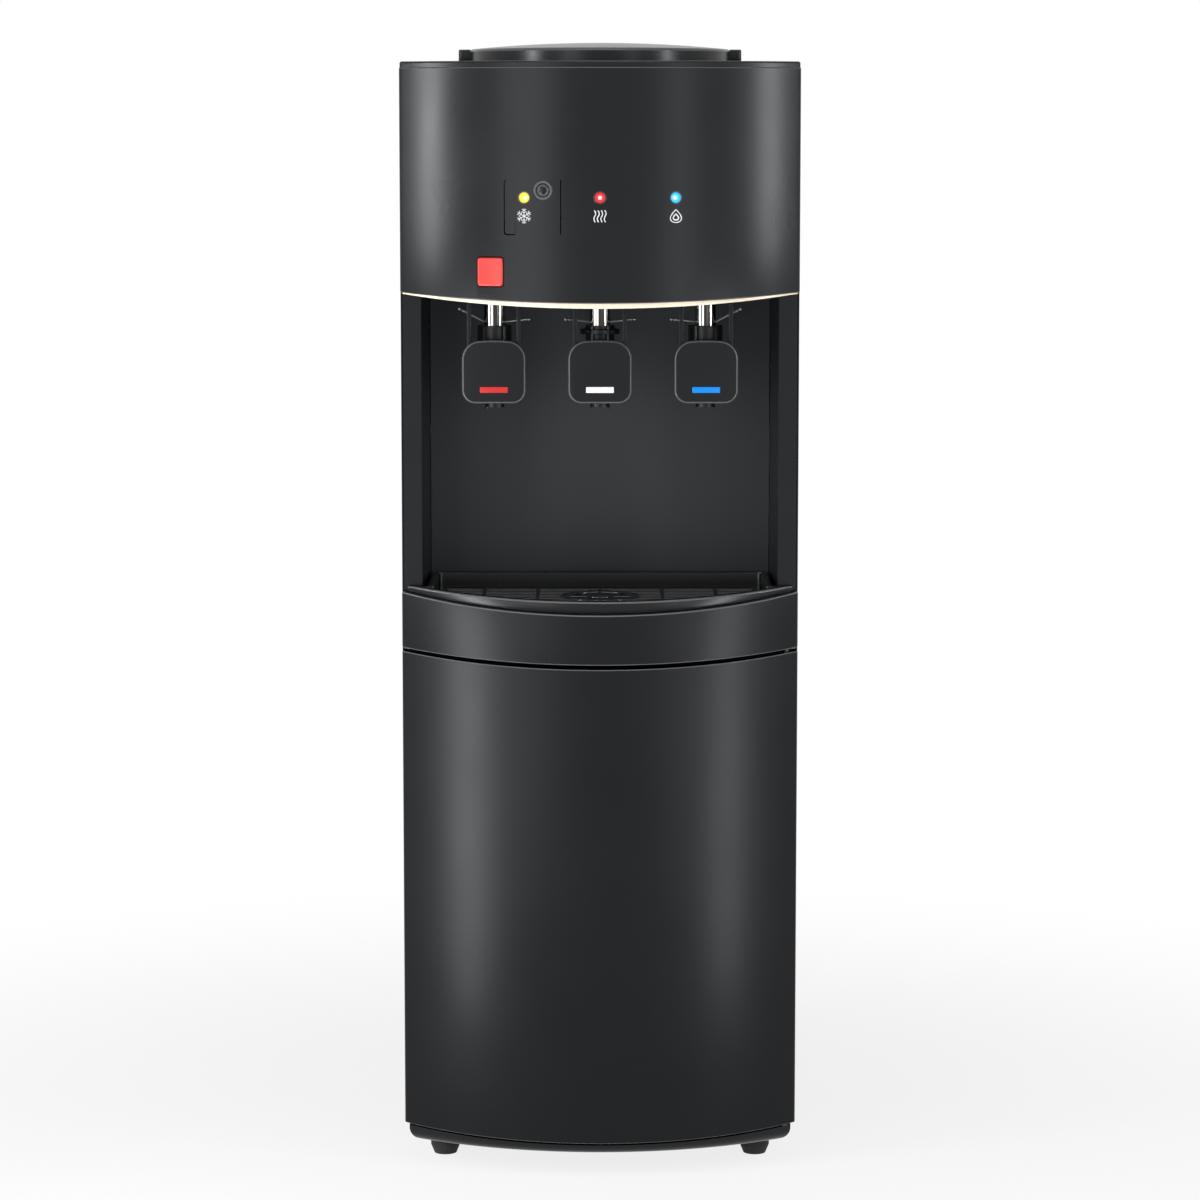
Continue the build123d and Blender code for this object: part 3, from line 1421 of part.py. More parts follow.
def make_switch_plate():
    """Bezel on the rear panel with two rocker wells."""
    y0 = panel_rear_y + sheet
    half = switch_pitch / 2 + 11
    x0, x1 = switch_centre_x - half, switch_centre_x + half
    plate = block(x0, x1, y0, y0 + 3, switch_z - 15, switch_z + 15)
    plate = fillet(plate.edges().filter_by(Axis.Y), 3)
    for x, z in switch_places():
        half_x, half_z = switch_half_x - touch_gap, switch_half_z - touch_gap
        plate += block(x - half_x, x + half_x, y0 - 9, y0 + 1, z - half_z, z + half_z)
        half_x, half_z = switch_half_x - 1.5, switch_half_z - 1.5
        plate -= block(x - half_x, x + half_x, y0 - 7, y0 + 5, z - half_z, z + half_z)
    return one(plate)


def make_rocker(index):
    """Rocker key of a rear switch, with the two faces that it tips between."""
    x, z = switch_places()[index]
    y = panel_rear_y + sheet
    lower_half = [(y - 2.5, z - 4.5), (y + 4.6, z - 7.2), (y + 3.4, z)]
    upper_half = [(y + 4.6, z + 7.2), (y - 2.5, z + 4.5)]
    profile = Polyline(lower_half + upper_half, close=True)
    key = extrude(make_face(Plane.YZ * profile), 5.2, both=True)
    key += rod_x(1.5, -5.45, 5.45, y, z)
    return one(Pos(x, 0, 0) * key)


def make_power_inlet():
    """Gland ring where the mains lead enters, closed behind."""
    y = panel_rear_y + sheet
    gland = rod_y(inlet_radius + 4, inlet_x, y, y + 5, inlet_z)
    gland = fillet(gland.edges().filter_by(GeomType.CIRCLE).sort_by(Axis.Y)[-1], 1.5)
    gland += rod_y(inlet_radius - hole_gap, inlet_x, y - 8, y + 1, inlet_z)
    gland -= rod_y(4.0, inlet_x, y - 4, y + 6, inlet_z)
    return one(gland)


def make_drain_outlet():
    """Drain stub of the hot tank through the rear panel, closed by a ribbed cap."""
    y = panel_rear_y + sheet
    stub = rod_y(drain_radius, drain_x, hot_y + hot_radius + touch_gap, y + 1, drain_z)
    cap = rod_y(drain_radius + 4, drain_x, y + touch_gap, y + 10, drain_z)
    for step in range(drain_cap_grips):
        a = 2 * math.pi * step / drain_cap_grips
        x = drain_x + (drain_radius + 4.4) * math.cos(a)
        z = drain_z + (drain_radius + 4.4) * math.sin(a)
        cap -= rod_y(1.1, x, y - 1, y + 12, z)
    stub += cap
    return one(stub)


def make_tray_carrier():
    """Ribbed moulding on the shelf that carries the drip tray."""
    z0 = shelf_z + sheet
    z1 = tray_floor_z - touch_gap / 2
    low, high = z0 + cut_over, z1 - wall
    half = bay_half - carrier_inset + 0.5
    back = bay_back_y - carrier_wall
    carrier = plan_solid(wall + carrier_inset, back, z0 + 3, z1)
    carrier &= block(-half, half, front_y, bay_back_y, z0, z1)
    inner_half = half - carrier_wall
    inner = block(-inner_half, inner_half, front_y, back - carrier_wall, low, high)
    carrier -= plan_solid(wall + carrier_inset + carrier_wall, back - carrier_wall, low, high) & inner
    for place in (-1.5, -0.5, 0.5, 1.5):
        x = place * carrier_rib_pitch
        rib_half = carrier_rib / 2
        carrier += block(x - rib_half, x + rib_half, frame_front_y + 2, back - 1, z0, z1 - 1)
    return one(carrier)


def main():
    os.makedirs("parts", exist_ok=True)
    parts = {
        "feet": make_feet(),
        "base_frame": make_base_frame(),
        "side_panel_left": make_side_panel(-1),
        "side_panel_right": make_side_panel(1),
        "rear_panel": make_rear_panel(),
        "rear_screws": make_rear_screws(),
        "door_frame": make_door_frame(),
        "hinge_brackets": make_hinge_brackets(),
        "catch_magnet": make_catch_magnet(),
        "bottle_floor": make_bottle_floor(),
        "machine_shelf": make_machine_shelf(),
        "tray_carrier": make_tray_carrier(),
        "band_fascia": make_band_fascia(),
        "bay_jamb_left": make_bay_jamb(-1),
        "bay_jamb_right": make_bay_jamb(1),
        "bay_back": make_bay_back(),
        "head_deck": make_head_deck(),
        "head_cover": make_head_cover(),
        "light_strip": make_light_strip(),
        "switch_insert": make_switch_insert(),
        "indicator_board": make_indicator_board(),
        "lamp_cold": make_lamp(-lamp_pitch),
        "lamp_hot": make_lamp(0.0),
        "lamp_water": make_lamp(lamp_pitch),
        "round_button": make_round_button(),
        "lock_button": make_lock_button(),
        "top_cover": make_top_cover(),
        "lid": make_lid(),
        "reservoir_bowl": make_reservoir_bowl(),
        "cold_tank": make_cold_tank(),
        "tank_foam": make_tank_foam(),
        "hot_tank": make_hot_tank(),
        "compressor": make_compressor(),
        "compressor_mounts": make_compressor_mounts(),
        "pump": make_pump(),
        "suction_hose": make_suction_hose(),
        "dip_probe": make_dip_probe(),
        "probe_holder": make_probe_holder(),
        "condenser_tube": make_condenser_tube(),
        "condenser_wires": make_condenser_wires(),
        "switch_plate": make_switch_plate(),
        "rocker_hot": make_rocker(0),
        "rocker_cold": make_rocker(1),
        "power_inlet": make_power_inlet(),
        "drain_outlet": make_drain_outlet(),
        "tap_stems": make_tap_stems(),
        "return_springs": make_return_springs(),
        "drip_tray": make_drip_tray(),
        "tray_grille": make_tray_grille(),
        "door_outer": make_door_outer(),
        "door_inner": make_door_inner(),
    }
    taps = zip(("hot", "mid", "cold"), ("red", "white", "blue"), tap_places)
    for name, colour, x in taps:
        parts["tap_valve_" + name] = make_tap_valve(x, name == "mid")
        parts["paddle_" + name] = make_paddle(x)
        parts["paddle_bar_" + colour] = make_paddle_bar(x)
    for name, shape in parts.items():
        export_step(shape, "parts/" + name + ".step")


if __name__ == "__main__":
    main()
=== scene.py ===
"""Looks of a free-standing water cooler: finishes for its solid parts, and pieces modelled as surfaces."""
import json
import math

import bmesh
import bpy
import numpy as np
from mathutils import Matrix, Vector


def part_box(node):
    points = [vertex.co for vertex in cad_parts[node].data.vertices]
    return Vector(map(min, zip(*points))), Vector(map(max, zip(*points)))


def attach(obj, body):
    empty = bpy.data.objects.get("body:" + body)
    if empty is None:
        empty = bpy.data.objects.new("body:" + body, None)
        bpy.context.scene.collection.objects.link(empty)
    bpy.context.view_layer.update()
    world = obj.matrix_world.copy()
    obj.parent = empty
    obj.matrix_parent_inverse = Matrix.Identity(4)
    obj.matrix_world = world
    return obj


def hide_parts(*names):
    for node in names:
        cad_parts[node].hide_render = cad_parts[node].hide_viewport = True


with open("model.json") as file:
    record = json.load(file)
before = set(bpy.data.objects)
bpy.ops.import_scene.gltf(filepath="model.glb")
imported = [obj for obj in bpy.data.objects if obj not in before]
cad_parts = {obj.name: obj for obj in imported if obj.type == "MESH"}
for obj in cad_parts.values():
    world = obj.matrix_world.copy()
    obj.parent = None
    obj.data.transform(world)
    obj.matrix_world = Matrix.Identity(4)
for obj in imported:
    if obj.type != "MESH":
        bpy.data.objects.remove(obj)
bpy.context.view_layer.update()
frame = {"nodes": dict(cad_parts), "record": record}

bl_info = {
    "name": "Water cooler looks",
    "version": (1, 0, 0),
    "blender": (4, 5, 0),
    "location": "3D View > Sidebar > Water Cooler",
    "description": "Dresses the solid model of a water cooler with its surfaces and finishes",
    "category": "Object",
}


# ---- Settings a user would change ----
class CoolerShape(bpy.types.PropertyGroup):
    front_bow: bpy.props.FloatProperty(
        name="Front bow", description="How far the curved front stands out beyond its corners",
        default=0.057, unit="LENGTH")
    corner_round: bpy.props.FloatProperty(
        name="Corner round", description="Round between the curved front and the side",
        default=0.0045, unit="LENGTH")
    edge_round: bpy.props.FloatProperty(
        name="Edge round", description="Round along the edges of the front mouldings",
        default=0.0011, unit="LENGTH")
    icon_line: bpy.props.FloatProperty(
        name="Icon line", description="Width of the lines of the printed icons",
        default=0.00085, unit="LENGTH")


class CoolerFinish(bpy.types.PropertyGroup):
    body_colour: bpy.props.FloatVectorProperty(
        name="Body", description="Satin black of the outer mouldings",
        default=(0.0042, 0.0044, 0.0048, 1.0), size=4, subtype="COLOR")
    body_roughness: bpy.props.FloatProperty(
        name="Body roughness", description="How soft the reflections on the mouldings are",
        default=0.26, min=0.0, max=1.0, subtype="FACTOR")
    red: bpy.props.FloatVectorProperty(
        name="Red", description="Red of the lock button and the hot bar",
        default=(0.46, 0.02, 0.019, 1.0), size=4, subtype="COLOR")
    blue: bpy.props.FloatVectorProperty(
        name="Blue", description="Blue of the cold bar",
        default=(0.0, 0.2, 0.72, 1.0), size=4, subtype="COLOR")


def shape():
    return bpy.context.scene.cooler_shape


def look():
    return bpy.context.scene.cooler_finish


# ---- Bowed front ----
BODY_LOW, BODY_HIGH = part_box("band_fascia")
HALF_WIDTH = BODY_HIGH.x
FRONT_Y = BODY_LOW.y


def front_radius():
    """Radius of the bowed front: (half width squared + bow squared) / (2 bow)."""
    bow = shape().front_bow
    return (HALF_WIDTH**2 + bow**2) / (2 * bow)


def bow_centre_y():
    """Depth of the point that the bowed front is a circle round."""
    return FRONT_Y + front_radius()


def bow_y(x):
    """Depth of the bowed front at x: centre - square root of (radius squared - x squared)."""
    return bow_centre_y() - np.sqrt(front_radius() ** 2 - np.asarray(x) ** 2)


def seam_z(y, seam):
    """Height of a seam at depth y: level along the sides, then falling evenly to the middle of the bow."""
    side, middle = seam
    bow = shape().front_bow
    return side + (middle - side) * np.clip((FRONT_Y + bow - y) / bow, 0.0, None)


def front_plan(back_y, columns=160, return_x=None, rear_round=0.0):
    """Plan of the front skin from its left rear end to its right rear end, as points and outward normals.

    Each stretch is an arc: centre + radius * (sin a, -cos a). The bow runs to its tangent with the
    corner round, which turns on to the side; a rear round and a return may follow.
    """
    radius, corner = front_radius(), shape().corner_round
    corner_x = HALF_WIDTH - corner
    corner_y = bow_centre_y() - math.sqrt((radius - corner) ** 2 - corner_x**2)
    tangent = math.atan2(corner_x, bow_centre_y() - corner_y)
    runs = [((0.0, bow_centre_y()), radius, np.linspace(0, tangent, columns // 2)),
            ((corner_x, corner_y), corner, np.linspace(tangent, math.pi / 2, 9)[1:])]
    end, facing = (HALF_WIDTH, back_y), (1.0, 0.0)
    if rear_round:
        centre = (HALF_WIDTH - rear_round, back_y - rear_round)
        runs.append((centre, rear_round, np.linspace(math.pi / 2, math.pi, 7)))
        end, facing = (return_x, back_y), (0.0, 1.0)
    points, normals = [], []
    for centre, size, angle in runs:
        normal = np.stack([np.sin(angle), -np.cos(angle)], -1)
        points.append(np.array(centre) + size * normal)
        normals.append(normal)
    points, normals = np.concatenate(points + [[end]]), np.concatenate(normals + [[facing]])
    flip = np.array([-1.0, 1.0])
    return (np.concatenate([points[:0:-1] * flip, points]),
            np.concatenate([normals[:0:-1] * flip, normals]))


# ---- Surfaces as points and faces ----
def grid_faces(rows, columns, wrap_rows=False, wrap_columns=False):
    """Quads of a grid of points kept row by row; wrapping joins the last row or column to the first."""
    row = np.arange(rows if wrap_rows else rows - 1)
    column = np.arange(columns if wrap_columns else columns - 1)
    r, c = np.meshgrid(row, column, indexing="ij")
    r2, c2 = (r + 1) % rows, (c + 1) % columns
    quads = np.stack([r * columns + c, r * columns + c2, r2 * columns + c2, r2 * columns + c], -1)
    return quads.reshape(-1, 4).tolist()


def stacked(rings, closed=False):
    """Skin through rings of one outline: flat faces end it, or closed joins the last ring to the first."""
    count = len(rings[0])
    faces = grid_faces(len(rings), count, wrap_rows=closed, wrap_columns=True)
    if not closed:
        tail = (len(rings) - 1) * count
        faces += [list(range(count))[::-1], list(range(tail, tail + count))]
    return np.concatenate(rings), faces


def upright(outline, y):
    """Outline in (x, z) as a ring of points at depth y."""
    return np.column_stack([outline[:, 0], np.full(len(outline), y), outline[:, 1]])


def level(outline, z):
    """Outline in (x, y) as a ring of points at height z, one height or one for each point."""
    return np.column_stack([outline, np.broadcast_to(z, len(outline))])


def prism(outline, y0, y1):
    """Closed prism of an (x, z) outline between two depths."""
    outline = np.asarray(outline)
    return stacked([upright(outline, y0), upright(outline, y1)])


def shell_profile(thickness, edge, edge_high=None, lip_low=None, lip_high=None, steps=5):
    """Closed section of a skin as rows of (depth inwards, 0 at the low or 1 at the high seam, rise).

    It runs up the outside from the low edge to the high edge, each rounded by (edge (1 - sin a),
    edge (1 - cos a)), and back down the inside; a lip is a deeper ledge (depth, height) along an edge.
    """
    angle = np.linspace(0, math.pi / 2, steps + 1)
    high = edge if edge_high is None else edge_high
    rows = [(edge * (1 - math.sin(a)), 0, edge * (1 - math.cos(a))) for a in angle]
    rows += [(high * (1 - math.sin(a)), 1, -high * (1 - math.cos(a))) for a in angle[::-1]]
    if lip_high:
        depth, height = lip_high
        rows += [(depth, 1, 0.0), (depth, 1, -height), (thickness, 1, -height)]
    else:
        rows.append((thickness, 1, 0.0))
    if lip_low:
        depth, height = lip_low
        rows += [(thickness, 0, height), (depth, 0, height), (depth, 0, 0.0)]
    else:
        rows.append((thickness, 0, 0.0))
    return rows


def shell(plan, profile, low, high, limit=None):
    """Skin swept along a plan: point = plan point - depth * normal, at its height between the seams.

    limit holds (y, low, high): behind that depth the skin ends at those level heights instead.
    """
    points, normals = plan
    count = len(points)
    rings = []
    for depth, side, rise in profile:
        place = points - depth * normals
        z = seam_z(place[:, 1], high if side else low) + rise
        if limit:
            z = np.where(points[:, 1] > limit[0], limit[2 if side else 1] + rise, z)
        rings.append(level(place, z))
    faces = grid_faces(len(profile), count, wrap_rows=True)
    left_end = [row * count for row in range(len(profile))]
    faces += [left_end, [start + count - 1 for start in left_end][::-1]]
    return np.concatenate(rings), faces


def arc(centre, radius, start, end, count):
    """Points of a circular arc between two angles in degrees: centre + radius * (cos a, sin a)."""
    angle = np.radians(np.linspace(start, end, count))
    return np.stack([centre[0] + radius * np.cos(angle), centre[1] + radius * np.sin(angle)], -1)


def circle(radius, segments=40):
    """Outline radius * (cos a, sin a) over one full turn."""
    return arc((0.0, 0.0), radius, 0, 360, segments + 1)[:-1]


def rounded_rectangle(width, height, radius, steps=6):
    """Outline of a rounded rectangle round the origin, anticlockwise from its lower right corner."""
    x, z = width / 2 - radius, height / 2 - radius
    turns = ((1, -1, -90), (1, 1, 0), (-1, 1, 90), (-1, -1, 180))
    return np.concatenate([arc((sx * x, sz * z), radius, start, start + 90, steps + 1)
                           for sx, sz, start in turns])


def inset_outline(points, distance):
    """Closed anticlockwise outline moved inwards along the mitres of its corners."""
    points = np.asarray(points, float)
    along = np.roll(points, -1, 0) - points
    along /= np.linalg.norm(along, axis=1, keepdims=True)
    normal = np.column_stack([-along[:, 1], along[:, 0]])
    before = np.roll(normal, 1, 0)
    share = 1.0 + np.sum(normal * before, 1, keepdims=True)
    return points + distance * (normal + before) / np.maximum(share, 0.3)


def round_corners(points, radii, steps=4):
    """Outline whose corners with a radius are replaced by arcs, and whose other points stay."""
    points = [np.asarray(p, float) for p in points]
    out = []
    for index, (point, radius) in enumerate(zip(points, radii)):
        if not radius:
            out.append(point)
            continue
        back = points[index - 1] - point
        ahead = points[(index + 1) % len(points)] - point
        back, ahead = back / np.linalg.norm(back), ahead / np.linalg.norm(ahead)
        half = math.acos(float(np.clip(back @ ahead, -1, 1))) / 2
        centre = point + (back + ahead) / np.linalg.norm(back + ahead) * radius / math.sin(half)
        first = point + back * radius / math.tan(half) - centre
        last = point + ahead * radius / math.tan(half) - centre
        start, end = math.atan2(first[1], first[0]), math.atan2(last[1], last[0])
        turn = (end - start + math.pi) % (2 * math.pi) - math.pi
        out.extend(arc(centre, radius, math.degrees(start), math.degrees(start + turn), steps + 1))
    return np.array(out)


def slab(outline, low, high, edge, steps=3):
    """Plate with rounded edges: drawn in by edge (1 - sin a) at edge (1 - cos a) from each face."""
    angle = np.linspace(0, math.pi / 2, steps + 1)
    section = [(edge * (1 - math.sin(a)), low + edge * (1 - math.cos(a))) for a in angle]
    section += [(inset, high + low - height) for inset, height in section[::-1]]
    return stacked([level(inset_outline(outline, inset), height) for inset, height in section])


def spun(profile, segments=48):
    """Body of revolution: (r cos a, r sin a, height) for rows of (r, height) that meet or end on the axis."""
    profile = np.asarray(profile, float)
    on_axis = profile[0, 0] < 1e-9 and profile[-1, 0] < 1e-9
    body = profile[1:-1] if on_axis else profile
    angle = np.linspace(0, 2 * math.pi, segments, endpoint=False)
    rings = [np.column_stack([r * np.cos(angle), r * np.sin(angle), np.full(segments, h)]) for r, h in body]
    if not on_axis:
        return stacked(rings, closed=True)
    verts, faces = np.concatenate(rings), grid_faces(len(body), segments, wrap_columns=True)
    first, last, tail = len(verts), len(verts) + 1, (len(body) - 1) * segments
    for a in range(segments):
        b = (a + 1) % segments
        faces += [[first, b, a], [last, tail + a, tail + b]]
    return np.concatenate([verts, [[0, 0, profile[0, 1]], [0, 0, profile[-1, 1]]]]), faces


def ring_section(inner, outer, low, high, edge):
    """Closed section of a ring, as (radius, height) rows, with all its edges rounded."""
    return round_corners([(outer, low), (outer, high), (inner, high), (inner, low)], [edge] * 4)


def turned(part, order=(0, 1, 2), signs=(1, 1, 1), offset=(0, 0, 0)):
    """Surface with its axes reordered, then mirrored by signs and moved by offset."""
    verts, faces = part
    return np.asarray(verts)[:, list(order)] * np.array(signs, float) + np.array(offset, float), faces


def on_bow(part, x, z):
    """Surface given as (along the face, depth inwards, up), set square to the bowed front at (x, z)."""
    points, faces = np.asarray(part[0], float), part[1]
    a = math.asin(x / front_radius())
    side, depth = points[:, 0], points[:, 1]
    return np.column_stack([x + side * math.cos(a) - depth * math.sin(a),
                            bow_y(x) + side * math.sin(a) + depth * math.cos(a), z + points[:, 2]]), faces


def outwards(part):
    """Surface turned so that its third axis points out of the front."""
    return turned(part, (0, 2, 1), (1, -1, 1))


def joined(parts):
    """Several (points, faces) surfaces as one."""
    verts, faces, start = [], [], 0
    for points, polygons in parts:
        verts.append(np.asarray(points))
        faces += [[i + start for i in polygon] for polygon in polygons]
        start += len(points)
    return np.concatenate(verts), faces


# ---- Meshes and pieces ----
# Mask of points on rounded edges, where the materials paint a lighter highlight in place of light caught by
# the edge
EDGE_HIGHLIGHT_MASK = "painted_edge_highlight"
EDGE_BEND = 6.0        # degrees between two faces, past which the edge between them counts as bent
BROAD_FACE = 0.0006    # mean width past which a face is a flat or curved side, not part of a round
LONG_EDGE = 0.0125


def to_mesh(name, verts, faces):
    """Mesh with outward normals from closed surfaces given as points and faces."""
    mesh = bpy.data.meshes.new(name)
    mesh.from_pydata(np.asarray(verts).tolist(), [], faces)
    mesh.validate()
    work = bmesh.new()
    work.from_mesh(mesh)
    bmesh.ops.recalc_face_normals(work, faces=work.faces)
    work.to_mesh(mesh)
    work.free()
    return mesh


def linked(name, data):
    """Object of the scene that shows the data."""
    made = bpy.data.objects.new(name, data)
    bpy.context.scene.collection.objects.link(made)
    return made


def carve(part, cutters, operation="DIFFERENCE"):
    """Mesh of a surface with cutter surfaces taken away exactly, one after the other."""
    base = linked("carved", part if isinstance(part, bpy.types.Mesh) else to_mesh("carved", *part))
    tools = []
    for cutter in cutters:
        tools.append(linked("cutter", to_mesh("cutter", *cutter)))
        cut = base.modifiers.new("cut", "BOOLEAN")
        cut.operation, cut.solver, cut.object = operation, "EXACT", tools[-1]
    graph = bpy.context.evaluated_depsgraph_get()
    result = bpy.data.meshes.new_from_object(base.evaluated_get(graph))
    for item in [base] + tools:
        data = item.data
        bpy.data.objects.remove(item)
        bpy.data.meshes.remove(data)
    return result


def read(items, attribute, width=1, kind=float):
    """Attribute of all the mesh's items as an array, with a row for each item where width is above 1."""
    values = np.empty(width * len(items), kind)
    items.foreach_get(attribute, values)
    return values.reshape(-1, width) if width > 1 else values


def mark_highlight_edges(mesh):
    """Attribute that is 1 on rounded edges, where a painted highlight goes: points where faces bend, and
    where no face or edge is large.
    """
    edges = read(mesh.edges, "vertices", 2, int)
    points = read(mesh.vertices, "co", 3)
    normals = read(mesh.polygons, "normal", 3)
    totals = read(mesh.polygons, "loop_total", kind=int)
    loop_edges = read(mesh.loops, "edge_index", kind=int)
    corners = read(mesh.loops, "vertex_index", kind=int)
    owner = np.repeat(np.arange(len(totals)), totals)
    order = np.argsort(loop_edges, kind="stable")
    edge_sorted, face_sorted = loop_edges[order], owner[order]
    pair = np.flatnonzero(edge_sorted[1:] == edge_sorted[:-1])
    cosine = np.sum(normals[face_sorted[pair]] * normals[face_sorted[pair + 1]], axis=1)
    bent = np.zeros(len(edges), bool)
    bent[edge_sorted[pair]] = cosine < math.cos(math.radians(EDGE_BEND))
    length = np.linalg.norm(points[edges[:, 0]] - points[edges[:, 1]], axis=1)
    around = np.bincount(owner, weights=length[loop_edges], minlength=len(totals))
    mean_width = 2 * read(mesh.polygons, "area") / around
    mask = np.zeros(len(points), np.float32)
    mask[edges[bent].ravel()] = 1.0
    mask[edges[length > LONG_EDGE].ravel()] = 0.0
    mask[corners[(mean_width > BROAD_FACE)[owner]]] = 0.0
    mesh.attributes.new(EDGE_HIGHLIGHT_MASK, "FLOAT", "POINT").data.foreach_set("value", mask)


def add(name, part, body, material, replaced=(), smooth_angle=35.0):
    """Piece from a mesh or a surface: smooth but for sharp edges, on its body, for the parts it replaces."""
    mesh = part if isinstance(part, bpy.types.Mesh) else to_mesh(name, *part)
    mesh.polygons.foreach_set("use_smooth", np.ones(len(mesh.polygons), bool))
    mesh.set_sharp_from_angle(angle=math.radians(smooth_angle))
    mark_highlight_edges(mesh)
    piece = linked(name, mesh)
    mesh.materials.append(material)
    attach(piece, body)
    if replaced:
        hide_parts(*replaced)


# ---- Shader helpers ----
WHITE = (1.0, 1.0, 1.0, 1.0)
COOL = (0.94, 0.97, 1.0, 1.0)


def shader_tree(owner):
    """Node tree of a material or a world, switched on."""
    owner.use_nodes = True
    return owner.node_tree


def node(tree, kind, settings=None, **values):
    """New shader node with its settings, and values for inputs named with _ in place of spaces."""
    made = tree.nodes.new("ShaderNode" + kind)
    for key, value in (settings or {}).items():
        setattr(made, key, value)
    for key, value in values.items():
        made.inputs[key.replace("_", " ")].default_value = value
    return made


def wire(tree, *links):
    """Links given as rows of (node, output, node, input)."""
    for source, output, target, name in links:
        tree.links.new(source.outputs[output], target.inputs[name])


def grain_group():
    """Shared effect: fine grain for bumps and a slow mottle for colour and roughness."""
    name = "moulded_grain"
    if name in bpy.data.node_groups:
        return bpy.data.node_groups[name]
    group = bpy.data.node_groups.new(name, "ShaderNodeTree")
    sockets = group.interface
    sockets.new_socket("Vector", in_out="INPUT", socket_type="NodeSocketVector")
    for label, default in (("Grain Scale", 900.0), ("Mottle Scale", 14.0)):
        sockets.new_socket(label, in_out="INPUT", socket_type="NodeSocketFloat").default_value = default
    inlet = group.nodes.new("NodeGroupInput")
    outlet = group.nodes.new("NodeGroupOutput")
    for label, detail in (("Grain", 3.0), ("Mottle", 4.0)):
        sockets.new_socket(label, in_out="OUTPUT", socket_type="NodeSocketFloat")
        noise = node(group, "TexNoise", Detail=detail)
        wire(group, (inlet, "Vector", noise, "Vector"), (inlet, label + " Scale", noise, "Scale"),
             (noise, "Fac", outlet, label))
    return group


def toned(colour, share):
    """Colour with its three parts times share, at most 1."""
    return tuple(min(part * share, 1.0) for part in colour[:3]) + (1.0,)


def surface(name, colour, roughness, tone=0.12, rough_spread=0.05, grain=900.0, mottle=14.0,
            depth=0.00004, strength=0.25, metallic=0.0, specular=0.5, stretch=(1.0, 1.0, 1.0),
            coat=0.0, edge_highlight_colour=None, tint=WHITE):
    """Principled material whose colour, roughness and bump follow the shared grain; a lighter edge colour, if
    given, is a painted highlight along rounded edges.
    """
    if name in bpy.data.materials:
        return bpy.data.materials[name]
    material = bpy.data.materials.new(name)
    tree = shader_tree(material)
    shader = tree.nodes["Principled BSDF"]
    place = node(tree, "TexCoord")
    mapping = node(tree, "Mapping", Scale=stretch)
    effect = node(tree, "Group", {"node_tree": grain_group()}, Grain_Scale=grain, Mottle_Scale=mottle)
    blend = node(tree, "Mix", {"data_type": "RGBA"}, A=toned(colour, 1 - tone), B=toned(colour, 1 + tone))
    spread = node(tree, "MapRange", To_Min=max(roughness - rough_spread, 0.02),
                  To_Max=min(roughness + rough_spread, 1.0))
    bump = node(tree, "Bump", Strength=strength, Distance=depth)
    wire(tree, (place, "Object", mapping, "Vector"), (mapping, "Vector", effect, "Vector"),
         (effect, "Mottle", blend, "Factor"), (blend, "Result", shader, "Base Color"),
         (effect, "Mottle", spread, "Value"), (spread, "Result", shader, "Roughness"),
         (effect, "Grain", bump, "Height"), (bump, "Normal", shader, "Normal"))
    # Painted highlight: the colour turns lighter along rounded edges, standing in for the light caught there
    if edge_highlight_colour:
        rounded = node(tree, "Attribute", {"attribute_name": EDGE_HIGHLIGHT_MASK})
        painted_highlight = node(tree, "Mix", {"data_type": "RGBA"}, B=(*edge_highlight_colour, 1.0))
        wire(tree, (rounded, "Fac", painted_highlight, "Factor"), (blend, "Result", painted_highlight, "A"),
             (painted_highlight, "Result", shader, "Base Color"))
    for key, value in (("Metallic", metallic), ("Specular IOR Level", specular), ("Specular Tint", tint),
                       ("Coat Weight", coat), ("Coat Roughness", 0.08)):
        shader.inputs[key].default_value = value
    return material


# ---- Materials ----
def satin_black():
    # The lighter grey along rounded edges is a painted highlight
    return surface("satin_black_moulding", look().body_colour, look().body_roughness, specular=0.25,
                   edge_highlight_colour=(0.085, 0.086, 0.09), tint=COOL)


def satin_black_paint():
    # The lighter grey along rounded edges is a painted highlight
    return surface("satin_black_paint", look().body_colour, look().body_roughness + 0.08,
                   grain=420.0, depth=0.00003, specular=0.16, edge_highlight_colour=(0.1, 0.101, 0.105), tint=COOL)


def bay_black():
    return surface("bay_grey_black", (0.018, 0.0195, 0.022), 0.42, specular=0.3, tint=COOL)


def gloss_black():
    # The faintly lighter black along rounded edges is a painted highlight
    return surface("gloss_black_moulding", (0.006, 0.006, 0.0065), 0.16, rough_spread=0.03,
                   strength=0.1, specular=0.4, edge_highlight_colour=(0.02, 0.02, 0.021))


def sleeve_gap_shade():
    # Almost lightless black: the sleeve is a real part, but this black paints the shade in the gap round the
    # lock key
    return surface("sleeve_gap_shade_moulding", (0.0012, 0.0012, 0.0013), 0.7, specular=0.03)


def dark_inner():
    return surface("dark_inner_moulding", (0.03, 0.031, 0.034), 0.5, grain=700.0)


def grey_food_plastic():
    return surface("grey_food_plastic", (0.4, 0.41, 0.42), 0.4, tone=0.05)


def black_rubber():
    return surface("black_rubber", (0.012, 0.012, 0.012), 0.75, grain=1300.0, strength=0.5, specular=0.3)


def zinc_steel():
    return surface("zinc_plated_steel", (0.42, 0.43, 0.45), 0.38, tone=0.2, mottle=55.0, metallic=1.0,
                   stretch=(1.0, 1.0, 0.25))


def screw_steel():
    return surface("plated_screws", (0.45, 0.45, 0.46), 0.28, metallic=1.0, mottle=300.0)


def stainless():
    return surface("drawn_stainless", (0.5, 0.5, 0.51), 0.25, metallic=1.0, grain=500.0,
                   stretch=(1.0, 1.0, 8.0), strength=0.4)


